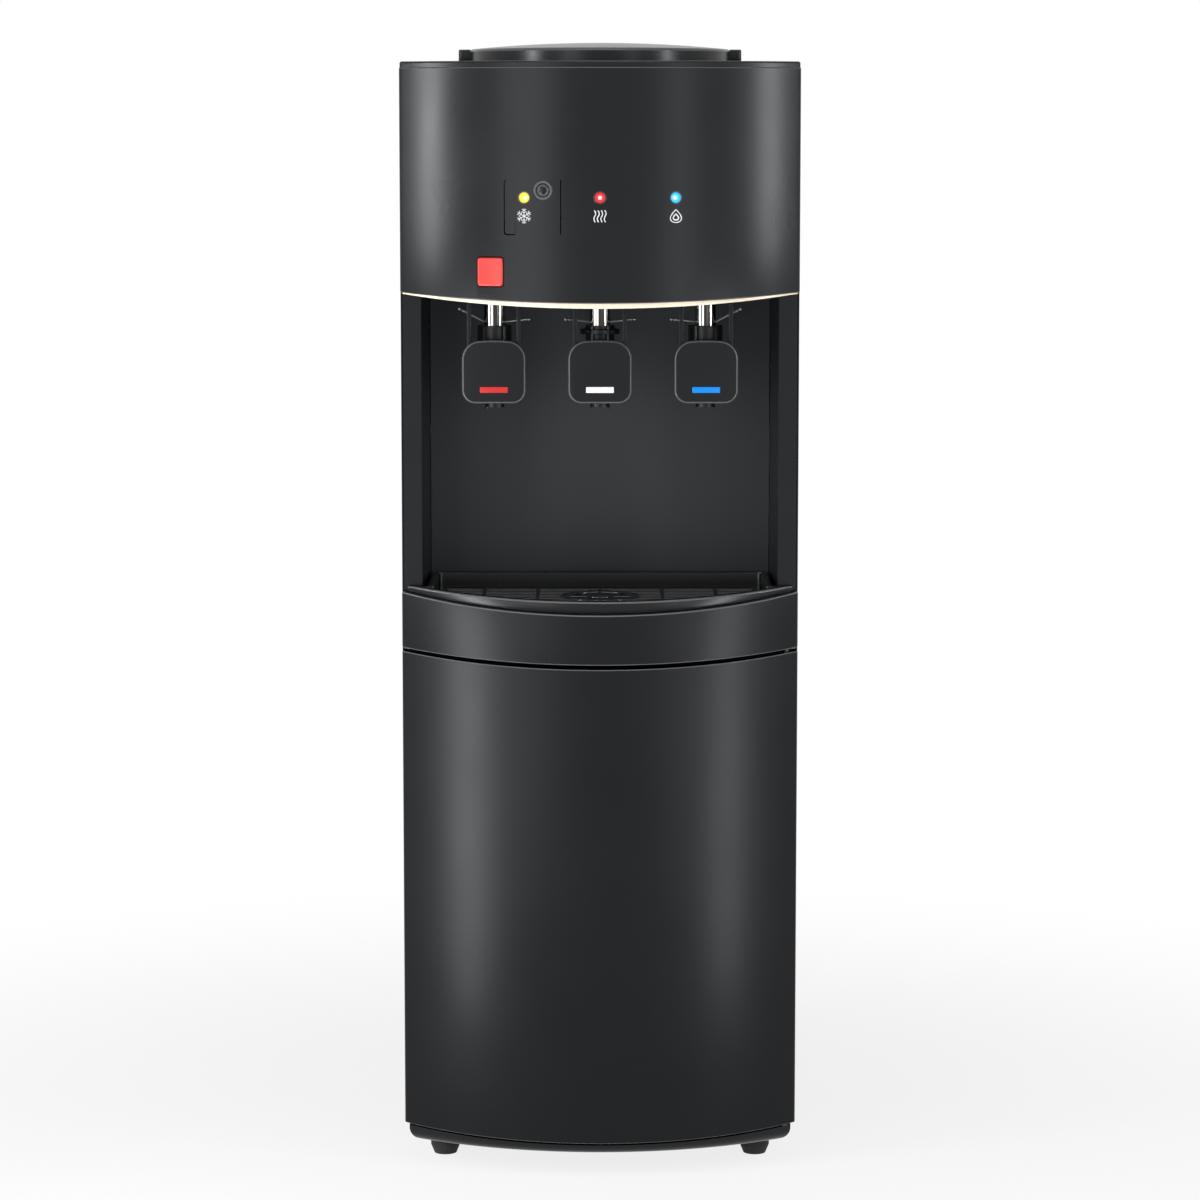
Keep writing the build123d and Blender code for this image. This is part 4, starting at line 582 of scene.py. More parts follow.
def chrome():
    """Bright chrome with painted reflections: dark lines where a dark bay would be reflected along a round
    bar, bright bands between.
    """
    material = surface("bright_chrome", (0.78, 0.76, 0.73), 0.1, tone=0.03, rough_spread=0.03,
                       metallic=1.0, mottle=60.0, strength=0.05)
    tree = material.node_tree
    if "lines" in tree.nodes:
        return material
    shader = tree.nodes["Principled BSDF"]
    # Painted reflection: a ramp on the facing ratio multiplies the colour into dark lines and bright bands
    facing = node(tree, "LayerWeight")
    lines = node(tree, "ValToRGB", {"name": "lines"})
    stops = lines.color_ramp.elements
    stops[0].color = (0.05, 0.05, 0.05, 1)
    stops[1].color = (0.04, 0.04, 0.04, 1)
    stops[1].position = 0.8
    for position, bright in ((0.01, 0.1), (0.03, 1.0), (0.55, 0.9)):
        stops.new(position).color = (bright, bright, bright, 1)
    shade = node(tree, "Mix", {"data_type": "RGBA", "blend_type": "MULTIPLY"}, Factor=1.0)
    tree.links.new(shader.inputs["Base Color"].links[0].from_socket, shade.inputs["A"])
    wire(tree, (facing, "Facing", lines, "Fac"), (lines, "Color", shade, "B"),
         (shade, "Result", shader, "Base Color"))
    return material


def spring_wire():
    return surface("spring_wire", (0.2, 0.2, 0.205), 0.3, metallic=1.0, grain=2000.0, strength=0.2)


def warm_trim():
    return surface("warm_trim", (0.86, 0.74, 0.58), 0.3, tone=0.04, mottle=40.0, coat=0.4)


def board_green():
    return surface("circuit_board", (0.01, 0.12, 0.045), 0.35, tone=0.5, mottle=260.0)


def foam_white():
    return surface("insulation_foam", (0.66, 0.62, 0.5), 0.85, tone=0.15, grain=260.0, depth=0.0004,
                   strength=0.6)


def stove_black():
    return surface("stoved_black", (0.012, 0.012, 0.013), 0.38, grain=500.0)


def pump_grey():
    return surface("pump_grey", (0.1, 0.1, 0.11), 0.5)


def silicone():
    return surface("silicone_hose", (0.62, 0.64, 0.64), 0.45, tone=0.05, specular=0.4)


def key_red():
    # The lighter red along the key's rounded edges is a painted highlight
    return surface("red_key", look().red, 0.34, tone=0.05, rough_spread=0.04, specular=0.2,
                   edge_highlight_colour=(0.8, 0.16, 0.15))


def key_blue():
    return surface("blue_key", (0.02, 0.12, 0.45), 0.34, tone=0.05)


def bar_red():
    return surface("red_inlay", look().red, 0.3, tone=0.05, specular=0.4)


def bar_white():
    return surface("white_inlay", (0.82, 0.83, 0.84), 0.3, tone=0.03)


def bar_blue():
    return surface("blue_inlay", look().blue, 0.3, tone=0.05, specular=0.4)


def icon_white():
    return surface("icon_print", (0.7, 0.71, 0.72), 0.5, tone=0.05, mottle=500.0)


FINISHES = {
    "black_paint": satin_black_paint, "black_plastic": satin_black, "bay_plastic": bay_black,
    "grille_plastic": gloss_black, "inner_plastic": dark_inner, "clear_grey": grey_food_plastic,
    "black_rubber": black_rubber, "zinc_steel": zinc_steel, "screw_steel": screw_steel,
    "catch_black": dark_inner, "warm_strip": warm_trim, "board_green": board_green,
    "red_key": key_red, "blue_key": key_blue, "stainless": stainless, "white_foam": foam_white,
    "compressor_black": stove_black, "pump_grey": pump_grey, "silicone": silicone, "chrome": chrome,
    "bar_red": bar_red, "bar_white": bar_white, "bar_blue": bar_blue,
}
NODE_FINISHES = {"return_springs": spring_wire, "hinge_brackets": stove_black}
LAMP_RADIUS = 0.0048
# Lamp slots: the lens, its colour at the rim and its colour half way in
LAMP_COLOURS = {
    "lamp_yellow": ("lamp_cold", (0.5, 0.4, 0.0, 1), (0.75, 0.68, 0.0, 1)),
    "lamp_red": ("lamp_hot", (0.45, 0.005, 0.01, 1), (0.72, 0.02, 0.03, 1)),
    "lamp_cyan": ("lamp_water", (0.0, 0.25, 0.5, 1), (0.0, 0.5, 0.75, 1)),
}


def lamp_material(slot):
    """Lit lens, coloured by the distance from its axis over its radius: white inside, its own at the rim."""
    lens, rim, glow = LAMP_COLOURS[slot]
    low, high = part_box(lens)
    middle = (low + high) / 2
    material = bpy.data.materials.new(slot + "_lens")
    tree = shader_tree(material)
    shader = tree.nodes["Principled BSDF"]
    place = node(tree, "TexCoord")
    mapping = node(tree, "Mapping", Location=(-middle.x / LAMP_RADIUS, 0.0, -middle.z / LAMP_RADIUS),
                   Scale=(1 / LAMP_RADIUS, 0.0, 1 / LAMP_RADIUS))
    distance = node(tree, "VectorMath", {"operation": "LENGTH"})
    ramp = node(tree, "ValToRGB")
    stops = ramp.color_ramp.elements
    stops[0].position, stops[0].color = 0.12, WHITE
    stops[1].position, stops[1].color = 0.95, rim
    stops.new(0.45).color = glow
    wire(tree, (place, "Object", mapping, "Vector"), (mapping, "Vector", distance, 0),
         (distance, "Value", ramp, "Fac"), (ramp, "Color", shader, "Base Color"),
         (ramp, "Color", shader, "Emission Color"))
    shader.inputs["Emission Strength"].default_value = 0.4
    shader.inputs["Roughness"].default_value = 0.15
    return material


# ---- Mouldings of the front ----
# Seams are pairs: height along the sides, height in the middle of the bow
SKIN_BACK_Y = -0.1194
SKIN = 0.0025
HEAD_TOP, HEAD_BOTTOM = (1.016, 1.016), (0.813, 0.8053)
STRIP_TOP, STRIP_BOTTOM = (0.8129, 0.8052), (0.8115, 0.8003)
BAND_TOP, BAND_BOTTOM = (0.5384, 0.5234), (0.487, 0.4777)
DOOR_TOP, DOOR_BOTTOM = (0.4837, 0.4737), (0.0396, 0.0336)
LIP = (0.0043, 0.002)
FINE = 0.0003          # smallest round or gap of a moulding
HAIR = 0.0001          # keeps two faces from lying in one plane
STRIP_BACK_Y, STRIP_DEPTH, STRIP_SETBACK = -0.12, 0.003, 0.002
STRIP_LOW_ROUND, STRIP_HIGH_ROUND = 0.0006, 0.0002
CUT_AHEAD, HEAD_CUT_END, INSERT_CUT_END = -0.2, -0.15, -0.13
CUT_REACH = 0.01       # reach of a square-set cutter to both sides of the bowed face
LAMP_Z, LAMP_PITCH, LAMP_HOLE = 0.9, 0.068, 0.005
LAMP_PLACES = (("cold", -LAMP_PITCH), ("hot", 0.0), ("water", LAMP_PITCH))
INSERT_LOW, INSERT_HIGH = (-0.0853, 0.8674), (-0.0357, 0.9157)
INSERT_ROUND = 0.0025
INSERT_BLANK = (0.862, 0.921)    # low and high end of the skin that the insert is cut from
SIDE_SEAM, CLOSED_SEAM = 0.001, 0.00003    # the seam shows at the insert's sides and not at its ends
TAB_WIDTH, TAB_HEIGHT, GROOVE_WIDTH, GROOVE_DEPTH = 0.0091, 0.011, 0.0004, 0.0006
LOCK_X, LOCK_Z = -0.0987, 0.8333
LOCK_SIZE, LOCK_ROUND, LOCK_GAP, LOCK_EDGE = (0.024, 0.0256), 0.0026, 0.001, 0.0015
LOCK_PROUD, LOCK_DEEP = 0.0016, 0.011
SLEEVE_WALL, SLEEVE_FRONT, SLEEVE_BACK = 0.002, 0.0015, 0.012
BUTTON_X, BUTTON_Z, BUTTON_HOLE, BUTTON_RADIUS = -0.051, 0.9065, 0.0062, 0.006
BUTTON_RISE, BUTTON_SETBACK = 0.0044, 0.0018
FLANGE, FLANGE_TOP, FLANGE_LOW = 0.0076, -0.004, -0.007
# Bezels: inner and outer radius, low and high end above the face, round along the edges
BUTTON_BEZEL = (BUTTON_HOLE, 0.0086, -0.002, 0.001, 0.0009)
LAMP_BEZEL = (0.0049, 0.0061, -0.001, 0.00035, 0.0003)


def through(outline, x, z):
    """Cutter along the face's own normal at (x, z)."""
    return on_bow(prism(outline, -CUT_REACH, CUT_REACH), x, z)


def insert_outline(grow_side, grow_end, tab):
    """Outline of the insert's window: rounded left corners, square right ones, a tab at the lower left."""
    (x0, z0), (x1, z1) = INSERT_LOW, INSERT_HIGH
    left, right, low, high = x0 - grow_side, x1 + grow_side, z0 - grow_end, z1 + grow_end
    corners, radii = [(left, low)], [INSERT_ROUND]
    if tab:
        tab_x, tab_low = x0 + TAB_WIDTH, z0 - grow_side
        corners, radii = [(left, tab_low), (tab_x, tab_low), (tab_x, low)], [INSERT_ROUND, 0, 0]
    return round_corners(corners + [(right, low), (right, high), (left, high)], radii + [0, 0, INSERT_ROUND])


def lock_outline(grow):
    """Rounded square of the lock button, larger by grow all round."""
    return rounded_rectangle(LOCK_SIZE[0] + 2 * grow, LOCK_SIZE[1] + 2 * grow, LOCK_ROUND + grow)


class COOLER_OT_head(bpy.types.Operator):
    """Make the head: a skin swept along the bow, cut by prisms; the lock's sleeve and its rounded key"""
    bl_idname = "cooler.head"
    bl_label = "Head cover"

    def execute(self, context):
        profile = shell_profile(SKIN, shape().edge_round, lip_low=LIP)
        skin = shell(front_plan(SKIN_BACK_Y), profile, HEAD_BOTTOM, HEAD_TOP)
        cutters = [prism(insert_outline(SIDE_SEAM, CLOSED_SEAM, True), CUT_AHEAD, HEAD_CUT_END),
                   through(lock_outline(LOCK_GAP), LOCK_X, LOCK_Z)]
        cutters += [through(circle(LAMP_HOLE), x, LAMP_Z) for name, x in LAMP_PLACES if name != "cold"]
        add("head_cover_skin", carve(skin, cutters), "root", satin_black(), ("head_cover",))
        outer, inner = lock_outline(LOCK_GAP + SLEEVE_WALL), lock_outline(FINE)
        rings = [upright(outer, SLEEVE_FRONT), upright(outer, SLEEVE_BACK),
                 upright(inner, SLEEVE_BACK), upright(inner, SLEEVE_FRONT)]
        sleeve = on_bow(stacked(rings, closed=True), LOCK_X, LOCK_Z)
        # The sleeve's near-lightless black paints the shade in the gap round the key
        add("lock_sleeve", sleeve, "root", sleeve_gap_shade())
        key = turned(slab(lock_outline(0.0), -LOCK_PROUD, LOCK_DEEP, LOCK_EDGE, 6), (0, 2, 1))
        add("lock_key", on_bow(key, LOCK_X, LOCK_Z), "lock_button", key_red(), ("lock_button",))
        return {"FINISHED"}


class COOLER_OT_insert(bpy.types.Operator):
    """Make the insert, cut from the bow's own skin, and the bezels and the button, spun round their axes"""
    bl_idname = "cooler.insert"
    bl_label = "Insert and round button"

    def execute(self, context):
        low, high = INSERT_BLANK
        blank = shell(front_plan(SKIN_BACK_Y), shell_profile(SKIN, HAIR), (low, low), (high, high))
        window = prism(insert_outline(0.0, 0.0, False), CUT_AHEAD, INSERT_CUT_END)
        skin = carve(blank, [window], "INTERSECT")
        x0, z0, z1 = INSERT_LOW[0] + TAB_WIDTH, low - CUT_REACH, INSERT_LOW[1] + TAB_HEIGHT
        groove = [(x0, z0), (x0 + GROOVE_WIDTH, z0), (x0 + GROOVE_WIDTH, z1), (x0, z1)]
        skin = carve(skin, [prism(groove, CUT_AHEAD, float(bow_y(x0)) + GROOVE_DEPTH),
                            through(circle(LAMP_HOLE), -LAMP_PITCH, LAMP_Z),
                            through(circle(BUTTON_HOLE), BUTTON_X, BUTTON_Z)])
        add("insert_skin", skin, "root", satin_black(), ("switch_insert",))
        bezel = outwards(spun(ring_section(*BUTTON_BEZEL), 64))
        add("button_bezel", on_bow(bezel, BUTTON_X, BUTTON_Z), "root", satin_black())
        bezel = outwards(spun(ring_section(*LAMP_BEZEL)))
        for name, x in LAMP_PLACES:
            add("lamp_bezel_" + name, on_bow(bezel, x, LAMP_Z), "root", gloss_black())
        dome = [(BUTTON_RADIUS * math.cos(a), BUTTON_RISE * math.sin(a) - BUTTON_SETBACK)
                for a in np.linspace(math.pi / 2, 0, 14)]
        profile = [(0.0, dome[0][1])] + dome[1:] + [(BUTTON_RADIUS, FLANGE_TOP)]
        profile += [(FLANGE, FLANGE_TOP), (FLANGE, FLANGE_LOW), (0.0, FLANGE_LOW)]
        button = on_bow(outwards(spun(profile, 64)), BUTTON_X, BUTTON_Z)
        add("round_button_dome", button, "round_button", satin_black(), ("round_button",),
            smooth_angle=50.0)
        return {"FINISHED"}


class COOLER_OT_band(bpy.types.Operator):
    """Make the band under the drip tray and the trim line under the head, both swept along the bow"""
    bl_idname = "cooler.band"
    bl_label = "Band and trim line"

    def execute(self, context):
        profile = shell_profile(SKIN, shape().edge_round, lip_high=LIP)
        band = shell(front_plan(SKIN_BACK_Y), profile, BAND_BOTTOM, BAND_TOP)
        add("band_skin", band, "root", satin_black_paint(), ("band_fascia",))
        points, normals = front_plan(STRIP_BACK_Y)
        plan = (points - STRIP_SETBACK * normals, normals)
        profile = shell_profile(STRIP_DEPTH, STRIP_LOW_ROUND, edge_high=STRIP_HIGH_ROUND)
        strip = shell(plan, profile, STRIP_BOTTOM, STRIP_TOP)
        add("trim_line", strip, "root", warm_trim(), ("light_strip",))
        return {"FINISHED"}


DOOR_BACK_Y, DOOR_SHEET, DOOR_FOLD, DOOR_RETURN, DOOR_EDGE = -0.121, 0.0015, 0.0025, 0.035, 0.0007
PLATE_LOW, PLATE_HIGH, PLATE, PLATE_INTO_SKIN = 0.044, 0.4715, 0.0018, 0.0002


class COOLER_OT_door(bpy.types.Operator):
    """Make the folded door skin, swept along the bow and round to its returns, with a plate at each end"""
    bl_idname = "cooler.door"
    bl_label = "Door skin"

    def execute(self, context):
        plan = front_plan(DOOR_BACK_Y, return_x=HALF_WIDTH - DOOR_RETURN, rear_round=DOOR_FOLD)
        skin = shell(plan, shell_profile(DOOR_SHEET, DOOR_EDGE), DOOR_BOTTOM, DOOR_TOP,
                     limit=(DOOR_BACK_Y - 0.002, PLATE_LOW, PLATE_HIGH))
        points, normals = front_plan(DOOR_BACK_Y, return_x=0.0, rear_round=DOOR_FOLD)
        outline = (points - (DOOR_SHEET - PLATE_INTO_SKIN) * normals)[:-1]
        plates = [slab(outline, z, z + PLATE, FINE) for z in (PLATE_LOW, PLATE_HIGH - PLATE)]
        add("door_skin", joined([skin] + plates), "door", satin_black_paint(), ("door_outer",))
        return {"FINISHED"}


# ---- Taps ----
PADDLE_HALF, PADDLE_HEIGHT, PADDLE_LOW = 0.029, 0.0576, 0.7117
PADDLE_FRONT, PADDLE_BACK, PADDLE_WALL = -0.126, -0.115, 0.002
PADDLE_TOP_ROUND, PADDLE_LOW_ROUND, PADDLE_RIM, PADDLE_CROWN = 0.017, 0.012, 0.0017, 0.002
PIVOT_Y, PIVOT_Z, EYE_RADIUS = -0.116, 0.822, 0.003
PIN_RADIUS, PIN_ROOT, PIN_LENGTH, PIN_BEVEL = 0.002, 0.001, 0.0032, 0.0004
ARM_SPREAD, ARM_WIDTH, ARM_FOOT, ARM_SETBACK, ARM_EDGE = 0.0227, 0.004, 0.03, 0.0015, 0.0005
ARM_ROOT_REAR, ARM_ROOT_FRONT = 0.008, 0.007    # where the arm leaves the paddle, below its top
BAR_SIZE, BAR_LOW, BAR_ROUND, BAR_EDGE = (0.0254, 0.0054), 0.7214, 0.0005, 0.00035
BAR_PROUD, BAR_DEEP, BAR_GAP = 0.0005, 0.0008, 0.00025
TAPS = (("hot", "red", bar_red), ("mid", "white", bar_white), ("cold", "blue", bar_blue))


def paddle_outline(shrink):
    """Paddle face drawn in by shrink: z = high - crown (x / half)^2, met by the top rounds in tangents."""
    half, low, high = PADDLE_HALF - shrink, shrink, PADDLE_HEIGHT - shrink
    top, bottom = PADDLE_TOP_ROUND - shrink, PADDLE_LOW_ROUND - shrink
    lean = 0.0
    for _ in range(4):
        x = half - top + top * math.sin(lean)
        lean = math.atan(2 * PADDLE_CROWN * x / half**2)
    centre = (half - top, high - PADDLE_CROWN * (x / half) ** 2 - top * math.cos(lean))
    side = np.linspace(low + bottom, centre[1], 10)[1:-1]
    floor = np.linspace(0.0, half - bottom, 7)[1:-1]
    right = np.concatenate([
        np.column_stack([floor, np.full(len(floor), low)]),
        arc((half - bottom, low + bottom), bottom, -90, 0, 11),
        np.column_stack([np.full(len(side), half), side]),
        arc(centre, top, 0, 90 - math.degrees(lean), 15),
        [(x * share, high - PADDLE_CROWN * (x * share / half) ** 2) for share in (0.8, 0.55, 0.28)],
    ])
    left = right[::-1] * np.array([-1.0, 1.0])
    return np.concatenate([[(0.0, low)], right, [(0.0, high)], left]) + np.array([0.0, PADDLE_LOW])


def paddle_shell():
    """Hollow paddle from its inner floor round its rim to the bevelled face, as rings of one outline."""
    front, back, wall, rim = PADDLE_FRONT, PADDLE_BACK, PADDLE_WALL, PADDLE_RIM
    section = [(wall, front + wall), (wall, back - FINE), (wall - FINE, back), (FINE, back),
               (0.0, back - FINE)]
    section += [(rim * (1 - math.sin(a)), front + rim * (1 - math.cos(a)))
                for a in np.linspace(math.pi / 2, 0, 8)]
    return stacked([upright(paddle_outline(shrink), y) for shrink, y in section])


def paddle_arm(side):
    """Arm with its root rib and round eye, as a plate across X, and the trunnion that it turns on."""
    front, foot, top = PADDLE_FRONT + ARM_SETBACK, PADDLE_LOW + ARM_FOOT, PADDLE_LOW + PADDLE_HEIGHT
    rear_root, front_root = top - ARM_ROOT_REAR, top - ARM_ROOT_FRONT
    outline = [(front, foot), (PADDLE_BACK, foot), (PADDLE_BACK, rear_root),
               (PIVOT_Y + EYE_RADIUS, rear_root), *arc((PIVOT_Y, PIVOT_Z), EYE_RADIUS, 0, 180, 13),
               (PIVOT_Y - EYE_RADIUS, front_root), (front, front_root)]
    x0 = side * ARM_SPREAD - ARM_WIDTH / 2
    arm = turned(slab(outline, x0, x0 + ARM_WIDTH, ARM_EDGE), (2, 0, 1))
    pin = spun([(0, -PIN_ROOT), (PIN_RADIUS, -PIN_ROOT), (PIN_RADIUS, PIN_LENGTH - PIN_BEVEL),
                (PIN_RADIUS - PIN_BEVEL, PIN_LENGTH), (0, PIN_LENGTH)], 24)
    start = side * (ARM_SPREAD + ARM_WIDTH / 2)
    return [arm, turned(pin, (2, 0, 1), (side, 1, 1), (start, PIVOT_Y, PIVOT_Z))]


def with_part(mesh, part):
    """The mesh with a closed surface added to it."""
    work = bmesh.new()
    work.from_mesh(mesh)
    work.from_mesh(to_mesh("added", *part))
    work.to_mesh(mesh)
    work.free()
    return mesh


class COOLER_OT_paddles(bpy.types.Operator):
    """Make three paddles: rings of a crowned outline, plates and pins for the arms, a bar in a recess"""
    bl_idname = "cooler.paddles"
    bl_label = "Paddles"

    def execute(self, context):
        (width, height), floor = BAR_SIZE, PADDLE_FRONT + BAR_DEEP
        side, low, high = width / 2 + BAR_GAP, BAR_LOW - BAR_GAP, BAR_LOW + height + BAR_GAP
        corners = [(-side, low), (side, low), (side, high), (-side, high)]
        recess = prism(corners, PADDLE_FRONT - CUT_REACH, floor)
        bar = rounded_rectangle(width, height, BAR_ROUND) + np.array([0.0, BAR_LOW + height / 2])
        bar = turned(slab(bar, PADDLE_FRONT - BAR_PROUD, floor, BAR_EDGE), (0, 2, 1))
        body, arms = paddle_shell(), joined(paddle_arm(-1) + paddle_arm(1))
        for name, colour, finish in TAPS:
            low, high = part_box("paddle_" + name)
            middle = ((low.x + high.x) / 2, 0.0, 0.0)
            paddle = with_part(carve(body, [recess]), arms)
            paddle.transform(Matrix.Translation(middle))
            add("paddle_shell_" + name, paddle, "paddle_" + name, satin_black(),
                ("paddle_" + name,))
            add("paddle_inlay_" + colour, turned(bar, offset=middle), "paddle_" + name,
                finish(), ("paddle_bar_" + colour,))
        return {"FINISHED"}


# ---- Lid ----
LID_Y, LID_RADIUS, LID_BASE, LID_EDGE, LID_CROWN = -0.008, 0.122, 1.0215, 1.0338, 1.04
LID_ROUND, LID_BEVEL = 0.003, 0.0004
PLUG_OUTER, PLUG_INNER, PLUG_DEPTH = 0.1115, 0.109, 0.007
LUG_START, LUG_END, LUG_HALF, LUG_EDGE = 0.1205, 0.1315, 0.015, 0.0012


def dome_height(r, inset=0.0):
    """Height of the low dome at radius r, or of its underside: a sphere through its crown and its edge."""
    rise = LID_CROWN - LID_EDGE
    size = ((LID_RADIUS - inset) ** 2 + rise**2) / (2 * rise)
    return LID_CROWN - inset - size + np.sqrt(size**2 - np.asarray(r) ** 2)


def lid_section():
    """Closed section of the lid: over the dome, round the edge and back under it past the plug ring."""
    inner, plug_low = LID_RADIUS - SKIN, LID_BASE - PLUG_DEPTH
    over = np.linspace(0.0, LID_RADIUS - LID_ROUND, 24)
    over = np.column_stack([over, dome_height(over)])
    under = np.linspace(inner, 0.0, 14)
    under = np.column_stack([under, dome_height(under, SKIN)])
    outside_plug = under[:, 0] > PLUG_OUTER
    plug_top = float(dome_height(PLUG_OUTER, SKIN))
    plug = [(PLUG_OUTER, plug_top), (PLUG_OUTER, plug_low + LID_BEVEL), (PLUG_OUTER - LID_BEVEL, plug_low),
            (PLUG_INNER + LID_BEVEL, plug_low), (PLUG_INNER, plug_low + LID_BEVEL), (PLUG_INNER, plug_top)]
    edge_centre = (LID_RADIUS - LID_ROUND, over[-1, 1] - LID_ROUND)
    return np.concatenate([
        over, arc(edge_centre, LID_ROUND, 84, 0, 8),
        [(LID_RADIUS, LID_BASE + LID_BEVEL), (LID_RADIUS - LID_BEVEL, LID_BASE), (inner, LID_BASE)],
        under[outside_plug], plug, under[~outside_plug][1:]])


class COOLER_OT_lid(bpy.types.Operator):
    """Make the domed lid, spun round its axis, with a rounded plate for each side lug"""
    bl_idname = "cooler.lid"
    bl_label = "Lid"

    def execute(self, context):
        corners = [(LUG_START, -LUG_HALF), (LUG_END, -LUG_HALF), (LUG_END, LUG_HALF), (LUG_START, LUG_HALF)]
        lug = slab(round_corners(corners, [0, LID_ROUND, LID_ROUND, 0], 6), LID_BASE, LID_EDGE, LUG_EDGE)
        lid = joined([spun(lid_section(), 128), lug, turned(lug, signs=(-1, 1, 1))])
        add("lid_cap", turned(lid, offset=(0, LID_Y, 0)), "lid", satin_black(), ("lid",))
        return {"FINISHED"}


# ---- Drip tray and grille ----
TRAY_TOP, TRAY_RIM_LOW = (0.5435, 0.5343), (0.5387, 0.5237)
TRAY_FLOOR, TRAY_WALL, TRAY_RIM, LEDGE_END = 0.505, 0.004, 0.0065, 0.0105
TRAY_HALF, TRAY_WIDE, TRAY_BACK, TRAY_STEP, TRAY_SETBACK = 0.159, 0.177, -0.005, -0.1205, 0.005
RIM_ROUND_OUT, RIM_ROUND_IN, RIM_FOOT_ROUND = 0.0016, 0.0014, 0.0006
TRAY_CORNER, TRAY_STEP_ROUND, TRAY_TIP_ROUND = 0.004, 0.0012, 0.0008
GRILLE_TOP, GRILLE_PLATE, FRAME_OUTER, FRAME_INNER = 0.53, 0.0024, 0.0071, 0.0155
GRILLE_LOW = GRILLE_TOP - GRILLE_PLATE
FRAME_BEVEL_OUT, FRAME_BEVEL_IN = 0.0006, 0.0008
SLOT_PITCH, RIB_WIDTH, RIB_EDGE, RIB_OVERLAP, BAR_STEP = 0.012, 0.0066, 0.0009, 0.002, 0.011
BRIDGES, BRIDGE_WIDTH, BRIDGE_EDGE = (0.0, -0.058, 0.058, -0.108, 0.108), 0.0045, 0.0014
RING_Y, RING_MIDDLE, RING_INNER, RING_OUTER = -0.086, 0.033, 0.029, 0.037
RING_PROUD, RING_EDGE = 0.0006, 0.0012
HUB_RADIUS, HUB_ROUND, HUB_PROUD = 0.013, 0.0014, 0.0008
SPOKES, SPOKE_START, SPOKE_END, SPOKE_WIDTH, SPOKE_EDGE = 8, 0.011, 0.031, 0.004, 0.0013


def tray_outline(inset, arc_points=81):
    """Plan of the tray drawn in by inset: a bow ahead of the jambs and a narrower part between them."""
    radius = front_radius() - TRAY_SETBACK - inset
    wide, half, back, step = TRAY_WIDE - inset, TRAY_HALF - inset, TRAY_BACK - inset, TRAY_STEP - inset
    x = np.linspace(-wide, wide, arc_points)
    bow = np.column_stack([x, bow_centre_y() - np.sqrt(radius**2 - x**2)])
    corners = [*bow, (wide, step), (half, step), (half, back), (-half, back), (-half, step), (-wide, step)]
    tip = min(TRAY_STEP_ROUND, max(TRAY_CORNER - inset, TRAY_TIP_ROUND))
    left = [TRAY_CORNER, TRAY_STEP_ROUND, tip]
    return round_corners(corners, [0.0] * arc_points + left[::-1] + left)


class COOLER_OT_tray(bpy.types.Operator):
    """Make the drip tray as rings of its plan: up the wall, over two rounds of the rim, down to the floor"""
    bl_idname = "cooler.tray"
    bl_label = "Drip tray"

    def execute(self, context):
        floor, inside, ledge = (TRAY_FLOOR,) * 2, (TRAY_FLOOR + SKIN,) * 2, (GRILLE_LOW - HAIR,) * 2
        foot = RIM_FOOT_ROUND
        rows = [(TRAY_WALL, floor, 0.0), (TRAY_WALL, TRAY_RIM_LOW, 0.0), (foot, TRAY_RIM_LOW, 0.0),
                (foot / 3, TRAY_RIM_LOW, foot / 3), (0.0, TRAY_RIM_LOW, foot)]
        rim = [*arc((RIM_ROUND_OUT, -RIM_ROUND_OUT), RIM_ROUND_OUT, 180, 90, 6),
               *arc((TRAY_RIM - RIM_ROUND_IN, -RIM_ROUND_IN), RIM_ROUND_IN, 90, 0, 6)]
        rows += [(inset, TRAY_TOP, rise) for inset, rise in rim]
        rows += [(TRAY_RIM, ledge, 0.0), (LEDGE_END, ledge, 0.0), (LEDGE_END, inside, 0.0)]
        rings = []
        for inset, seam, rise in rows:
            outline = tray_outline(inset)
            rings.append(level(outline, seam_z(outline[:, 1], seam) + rise))
        add("drip_tray_basin", stacked(rings), "drip_tray", satin_black(), ("drip_tray",))
        return {"FINISHED"}


def grille_bar(x0, x1, y, width, low, high, edge):
    """Bar along X from one rounded section to the next, in steps of about BAR_STEP."""
    near, far = y - width / 2, y + width / 2
    corners = [(near, low), (far, low), (far, high), (near, high)]
    section = round_corners(corners, [FINE, FINE, edge, edge])
    places = np.linspace(x0, x1, max(2, int((x1 - x0) / BAR_STEP) + 2))
    return stacked([np.column_stack([np.full(len(section), x), section]) for x in places])


def grille_ribs(reach_radius):
    """Ribs along X: at depth y they end where the circle of the frame's bow does, or at its side walls."""
    parts = []
    for y in np.arange(FRONT_Y + SLOT_PITCH * 2, TRAY_BACK - FRAME_INNER + 1e-6, SLOT_PITCH):
        rise = bow_centre_y() - y
        if reach_radius <= rise:
            continue
        side = (TRAY_HALF if y > TRAY_STEP - FRAME_INNER else TRAY_WIDE) - FRAME_INNER + RIB_OVERLAP
        reach = min(math.sqrt(reach_radius**2 - rise**2), side)
        gap = abs(y - RING_Y)
        start = math.sqrt(RING_MIDDLE**2 - gap**2) if gap < RING_MIDDLE else 0.0
        spans = [(-reach, -start), (start, reach)] if start else [(-reach, reach)]
        if reach > start:
            parts += [grille_bar(x0, x1, y, RIB_WIDTH, GRILLE_LOW, GRILLE_TOP, RIB_EDGE) for x0, x1 in spans]
    return parts


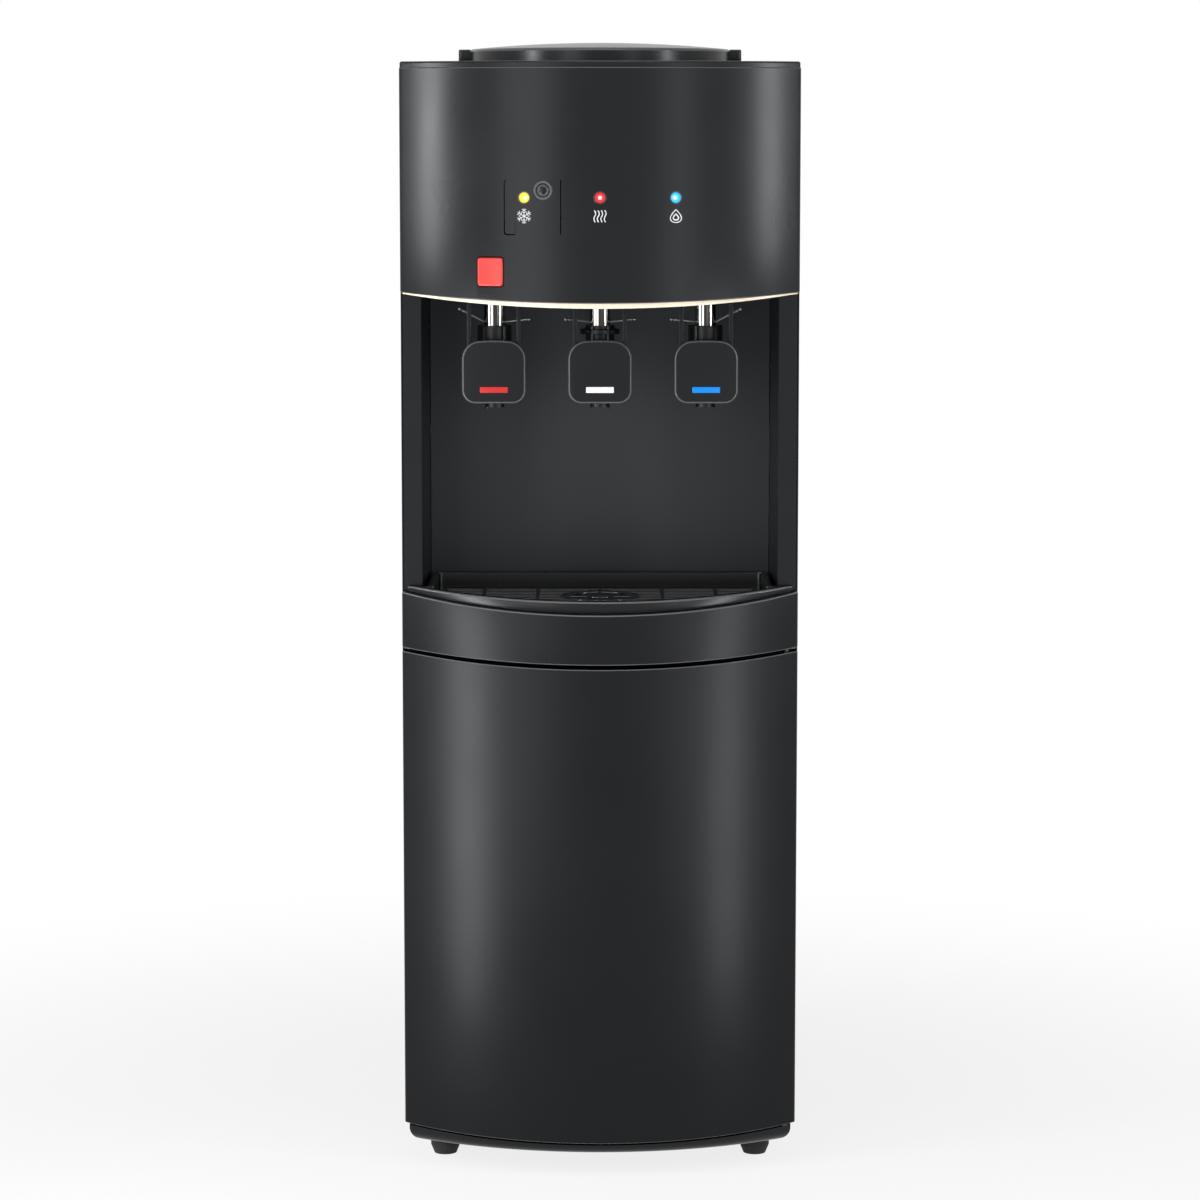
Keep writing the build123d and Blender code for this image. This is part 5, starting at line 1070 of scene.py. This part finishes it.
def grille_bridges(reach_radius):
    """Bars along Y from the frame's bow to its rear, broken where the ring is."""
    parts, rear = [], TRAY_BACK - FRAME_INNER + RIB_OVERLAP
    for x in BRIDGES:
        front = bow_centre_y() - math.sqrt(reach_radius**2 - x**2)
        spans = [(front, rear)]
        if abs(x) < RING_MIDDLE:
            spans = [(front, RING_Y - RING_MIDDLE), (RING_Y + RING_MIDDLE, rear)]
        for start, end in spans:
            bar = grille_bar(start, end, 0.0, BRIDGE_WIDTH, GRILLE_LOW + HAIR, GRILLE_TOP + HAIR,
                             BRIDGE_EDGE)
            parts.append(turned(bar, (1, 0, 2), offset=(x, 0, 0)))
    return parts


def grille_ring():
    """Ring and hub, spun round their axis, and spokes (x cos a - y sin a, x sin a + y cos a) between them."""
    ring = spun(ring_section(RING_INNER, RING_OUTER, GRILLE_LOW, GRILLE_TOP + RING_PROUD, RING_EDGE), 96)
    hub_top = GRILLE_TOP + HUB_PROUD
    hub = [(0, hub_top), *arc((HUB_RADIUS - HUB_ROUND, hub_top - HUB_ROUND), HUB_ROUND, 90, 0, 6),
           (HUB_RADIUS, GRILLE_LOW), (0, GRILLE_LOW)]
    verts, faces = grille_bar(SPOKE_START, SPOKE_END, 0.0, SPOKE_WIDTH, GRILLE_LOW + HAIR,
                              GRILLE_TOP + 2 * HAIR, SPOKE_EDGE)
    x, y, z = verts.T
    parts = [ring, spun(hub)]
    for a in np.arange(SPOKES) * 2 * math.pi / SPOKES:
        turn = [x * math.cos(a) - y * math.sin(a), x * math.sin(a) + y * math.cos(a), z]
        parts.append((np.column_stack(turn), faces))
    return [turned(part, offset=(0, RING_Y, 0)) for part in parts]


class COOLER_OT_grille(bpy.types.Operator):
    """Make the grille: a frame of plan rings, bars with a rounded section, and a spoked ring with its hub"""
    bl_idname = "cooler.grille"
    bl_label = "Tray grille"

    def execute(self, context):
        section = [(FRAME_OUTER, GRILLE_LOW), (FRAME_OUTER, GRILLE_TOP - FRAME_BEVEL_OUT),
                   (FRAME_OUTER + FRAME_BEVEL_OUT, GRILLE_TOP), (FRAME_INNER - FRAME_BEVEL_IN, GRILLE_TOP),
                   (FRAME_INNER, GRILLE_TOP - FRAME_BEVEL_IN), (FRAME_INNER, GRILLE_LOW)]
        border = stacked([level(tray_outline(inset), z) for inset, z in section], closed=True)
        reach_radius = front_radius() - TRAY_SETBACK - FRAME_INNER + RIB_OVERLAP
        parts = [border] + grille_ribs(reach_radius) + grille_bridges(reach_radius) + grille_ring()
        add("grille_ribs", joined(parts), "tray_grille", gloss_black(), ("tray_grille",))
        return {"FINISHED"}


# ---- Icons ----
ICON_Z, ICON_HALF, ICON_PROUD, ICON_SUNK = 0.8835, 0.0067, 0.00012, 0.0002


def ribbon(path, width, closed=False):
    """Raised ribbon of even width along a path in (x, z): its sides are half a width along the normals."""
    path = np.asarray(path, float)
    ahead, behind = np.roll(path, -1, 0), np.roll(path, 1, 0)
    if not closed:
        ahead[-1], behind[0] = 2 * path[-1] - path[-2], 2 * path[0] - path[1]
    along = ahead - behind
    along /= np.linalg.norm(along, axis=1, keepdims=True)
    side = np.column_stack([-along[:, 1], along[:, 0]]) * width / 2
    left, right, count = path + side, path - side, len(path)
    rows = [upright(left, ICON_SUNK), upright(right, ICON_SUNK),
            upright(right, -ICON_PROUD), upright(left, -ICON_PROUD)]
    faces = grid_faces(4, count, wrap_rows=True, wrap_columns=closed)
    if not closed:
        faces += [[0, count, 2 * count, 3 * count], [count - 1, 4 * count - 1, 3 * count - 1, 2 * count - 1]]
    return np.concatenate(rows), faces


def towards(angle):
    """Unit vector (cos a, sin a)."""
    return np.array([math.cos(angle), math.sin(angle)])


def snowflake(width):
    """Six arms, each with two pairs of barbs 52 degrees off it."""
    parts = []
    for turn in np.arange(6) * math.pi / 3 + math.pi / 2:
        tip = towards(turn) * ICON_HALF
        parts.append(ribbon([tip * 0.02, tip], width * 0.7))
        for share, length in ((0.4, 0.0026), (0.7, 0.0024)):
            for side in (-1, 1):
                barb = tip * share + towards(turn + side * math.radians(52)) * length
                parts.append(ribbon([tip * share, barb], width * 0.6))
    return parts


def heat_waves(width):
    """Four upright waves, x = place + swing * sin(turn)."""
    z = np.linspace(-1, 1, 25)
    swing = 0.0008 * np.sin(z * math.pi * 1.15)
    return [ribbon(np.column_stack([place * 0.0031 + swing, z * ICON_HALF * 0.8]), width * 1.05)
            for place in (-1.5, -0.5, 0.5, 1.5)]


def drop_path(size, drop=0.0):
    """Drop with a point above: x = 1.1 size sin t sin(t / 2), z = 0.95 size cos t."""
    t = np.linspace(0, 2 * math.pi, 40, endpoint=False)
    return np.column_stack([1.1 * size * np.sin(t) * np.sin(t / 2), 0.95 * size * np.cos(t) + drop])


def water_drops(width):
    """A drop inside a drop."""
    return [ribbon(drop_path(ICON_HALF * 0.9), width, closed=True),
            ribbon(drop_path(ICON_HALF * 0.42, -0.0008), width * 1.3, closed=True)]


class COOLER_OT_icons(bpy.types.Operator):
    """Print the three icons under the lamps, as raised ribbons set on the bow"""
    bl_idname = "cooler.icons"
    bl_label = "Icons"

    def execute(self, context):
        for (name, x), draw in zip(LAMP_PLACES, (snowflake, heat_waves, water_drops)):
            icon = on_bow(joined(draw(shape().icon_line)), x, ICON_Z)
            add("icon_" + name, icon, "root", icon_white())
        return {"FINISHED"}


# ---- Finishes of the solid parts ----
class COOLER_OT_finishes(bpy.types.Operator):
    """Give every solid part the finish of its material slot, or the one its node has to itself"""
    bl_idname = "cooler.finishes"
    bl_label = "Finishes of the solid parts"

    def execute(self, context):
        for part in frame["record"]["subparts"]:
            slot = part["material_slot"]
            if slot in LAMP_COLOURS:
                material = lamp_material(slot)
            else:
                material = NODE_FINISHES.get(part["node"], FINISHES[slot])()
            materials = frame["nodes"][part["node"]].data.materials
            materials.clear()
            materials.append(material)
        return {"FINISHED"}


# ---- Stage ----
AMBIENT_LEVEL = 0.2
AIM_Y = -0.1           # depth of the upright line that the lamps shine at
# Upright lamps: name, degrees round the object, distance, low and high end, width, brightness
LAMPS = (
    ("strip_upper_left", -62.0, 1.25, 0.72, 1.4, 0.11, 32.0),
    ("strip_upper_right", 62.0, 1.25, 0.72, 1.4, 0.1, 25.0),
    ("strip_lower_left", -49.0, 0.78, 0.0, 0.62, 0.12, 23.0),
    ("strip_lower_right", 47.0, 0.78, 0.0, 0.62, 0.1, 15.0),
    ("soft_left", -26.0, 1.9, 0.02, 2.0, 0.6, 2.2),
    ("soft_right", 28.0, 1.9, 0.02, 2.0, 0.3, 2.0),
)
OVERHEAD_PLACE, OVERHEAD_AIM = (0.0, -1.3, 2.6), (0.0, AIM_Y, 0.7)
OVERHEAD_SIZE, OVERHEAD_POWER = (1.4, 0.4), 12.0
FLOOR_SIZE = 30.0
FLOOR_SHOWN_WHITE = 0.82    # share of plain white in what the camera sees of the floor by the object
FLOOR_FADE = (0.25, 1.3)    # distances from the middle between which that share rises to 1
CAMERA_PLACE = (0.0, -3.727, 0.973)
CAMERA_PITCH = 7.0
CAMERA_LENS = 118.4


def area_light(name, place, target, width, height, power):
    """Rectangular lamp that faces a target."""
    data = bpy.data.lights.new(name, "AREA")
    data.shape = "RECTANGLE"
    data.size, data.size_y = width, height
    data.energy = power
    lamp = linked(name, data)
    lamp.location = place
    lamp.rotation_euler = (Vector(target) - lamp.location).to_track_quat("-Z", "Y").to_euler()


def white_world():
    """White to the camera, in glossy reflections and through glass; a plain ambient level elsewhere."""
    world = bpy.data.worlds.new("studio")
    bpy.context.scene.world = world
    tree = shader_tree(world)
    background = tree.nodes["Background"]
    background.inputs["Color"].default_value = WHITE
    path = node(tree, "LightPath")
    seen = node(tree, "Math", {"operation": "MAXIMUM"})
    either = node(tree, "Math", {"operation": "MAXIMUM"})
    strength = node(tree, "MapRange", To_Min=AMBIENT_LEVEL, To_Max=1.0)
    wire(tree, (path, "Is Camera Ray", seen, 0), (path, "Is Glossy Ray", either, 0),
         (path, "Is Transmission Ray", either, 1), (either, "Value", seen, 1),
         (seen, "Value", strength, "Value"), (strength, "Result", background, "Strength"))


def floor_material():
    """Pale floor that keeps the object's shadow and otherwise meets the white background."""
    material = bpy.data.materials.new("pale_floor")
    tree = shader_tree(material)
    shader = tree.nodes["Principled BSDF"]
    for key, value in (("Base Color", (0.6, 0.6, 0.6, 1)), ("Roughness", 0.9), ("Specular IOR Level", 0.0)):
        shader.inputs[key].default_value = value
    glow = node(tree, "Emission")
    path = node(tree, "LightPath")
    place = node(tree, "TexCoord")
    distance = node(tree, "VectorMath", {"operation": "LENGTH"})
    fade = node(tree, "MapRange", {"interpolation_type": "SMOOTHSTEP"}, From_Min=FLOOR_FADE[0],
                From_Max=FLOOR_FADE[1], To_Min=FLOOR_SHOWN_WHITE, To_Max=1.0)
    seen = node(tree, "Math", {"operation": "MAXIMUM"})
    share = node(tree, "Math", {"operation": "MULTIPLY"})
    mix = node(tree, "MixShader")
    wire(tree, (place, "Object", distance, 0), (distance, "Value", fade, "Value"),
         (path, "Is Camera Ray", seen, 0), (path, "Is Glossy Ray", seen, 1), (seen, "Value", share, 0),
         (fade, "Result", share, 1), (share, "Value", mix, "Fac"), (shader, "BSDF", mix, 1),
         (glow, "Emission", mix, 2), (mix, "Shader", tree.nodes["Material Output"], "Surface"))
    return material


def lamps():
    """Upright lamps at (d sin a, aim - d cos a), whose power is brightness * pi * area, and one overhead."""
    for name, turn, distance, low, high, width, brightness in LAMPS:
        a, height = math.radians(turn), high - low
        middle = (low + high) / 2
        place = (distance * math.sin(a), AIM_Y - distance * math.cos(a), middle)
        area_light(name, place, (0.0, AIM_Y, middle), width, height, brightness * math.pi * width * height)
    area_light("overhead", OVERHEAD_PLACE, OVERHEAD_AIM, *OVERHEAD_SIZE, OVERHEAD_POWER)


class COOLER_OT_stage(bpy.types.Operator):
    """Make the floor, a square round the origin, and the lamps, the world and the camera"""
    bl_idname = "cooler.stage"
    bl_label = "Stage"

    def execute(self, context):
        scene = context.scene
        half = FLOOR_SIZE / 2
        mesh = bpy.data.meshes.new("floor")
        mesh.from_pydata([(-half, -half, 0), (half, -half, 0), (half, half, 0), (-half, half, 0)], [],
                         [(0, 1, 2, 3)])
        mesh.materials.append(floor_material())
        linked("floor", mesh)
        white_world()
        lamps()
        data = bpy.data.cameras.new("camera")
        data.lens, data.sensor_width = CAMERA_LENS, 36.0
        camera = linked("camera", data)
        camera.location = CAMERA_PLACE
        camera.rotation_euler = (math.radians(90.0 - CAMERA_PITCH), 0.0, 0.0)
        scene.camera = camera
        scene.view_settings.view_transform = "Standard"
        return {"FINISHED"}


OPERATORS = (COOLER_OT_stage, COOLER_OT_finishes, COOLER_OT_head, COOLER_OT_insert, COOLER_OT_band,
             COOLER_OT_door, COOLER_OT_paddles, COOLER_OT_lid, COOLER_OT_tray, COOLER_OT_grille,
             COOLER_OT_icons)


class COOLER_PT_panel(bpy.types.Panel):
    bl_idname = "COOLER_PT_panel"
    bl_label = "Water Cooler"
    bl_space_type = "VIEW_3D"
    bl_region_type = "UI"
    bl_category = "Water Cooler"

    def draw(self, context):
        for operator in OPERATORS:
            self.layout.operator(operator.bl_idname)


CLASSES = (CoolerShape, CoolerFinish) + OPERATORS + (COOLER_PT_panel,)


def register():
    for item in CLASSES:
        bpy.utils.register_class(item)
    bpy.types.Scene.cooler_shape = bpy.props.PointerProperty(type=CoolerShape)
    bpy.types.Scene.cooler_finish = bpy.props.PointerProperty(type=CoolerFinish)


def unregister():
    del bpy.types.Scene.cooler_finish
    del bpy.types.Scene.cooler_shape
    for item in reversed(CLASSES):
        bpy.utils.unregister_class(item)


def main():
    """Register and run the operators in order."""
    register()
    for operator in OPERATORS:
        group, name = operator.bl_idname.split(".")
        getattr(getattr(bpy.ops, group), name)()


if __name__ == "__main__":
    main()
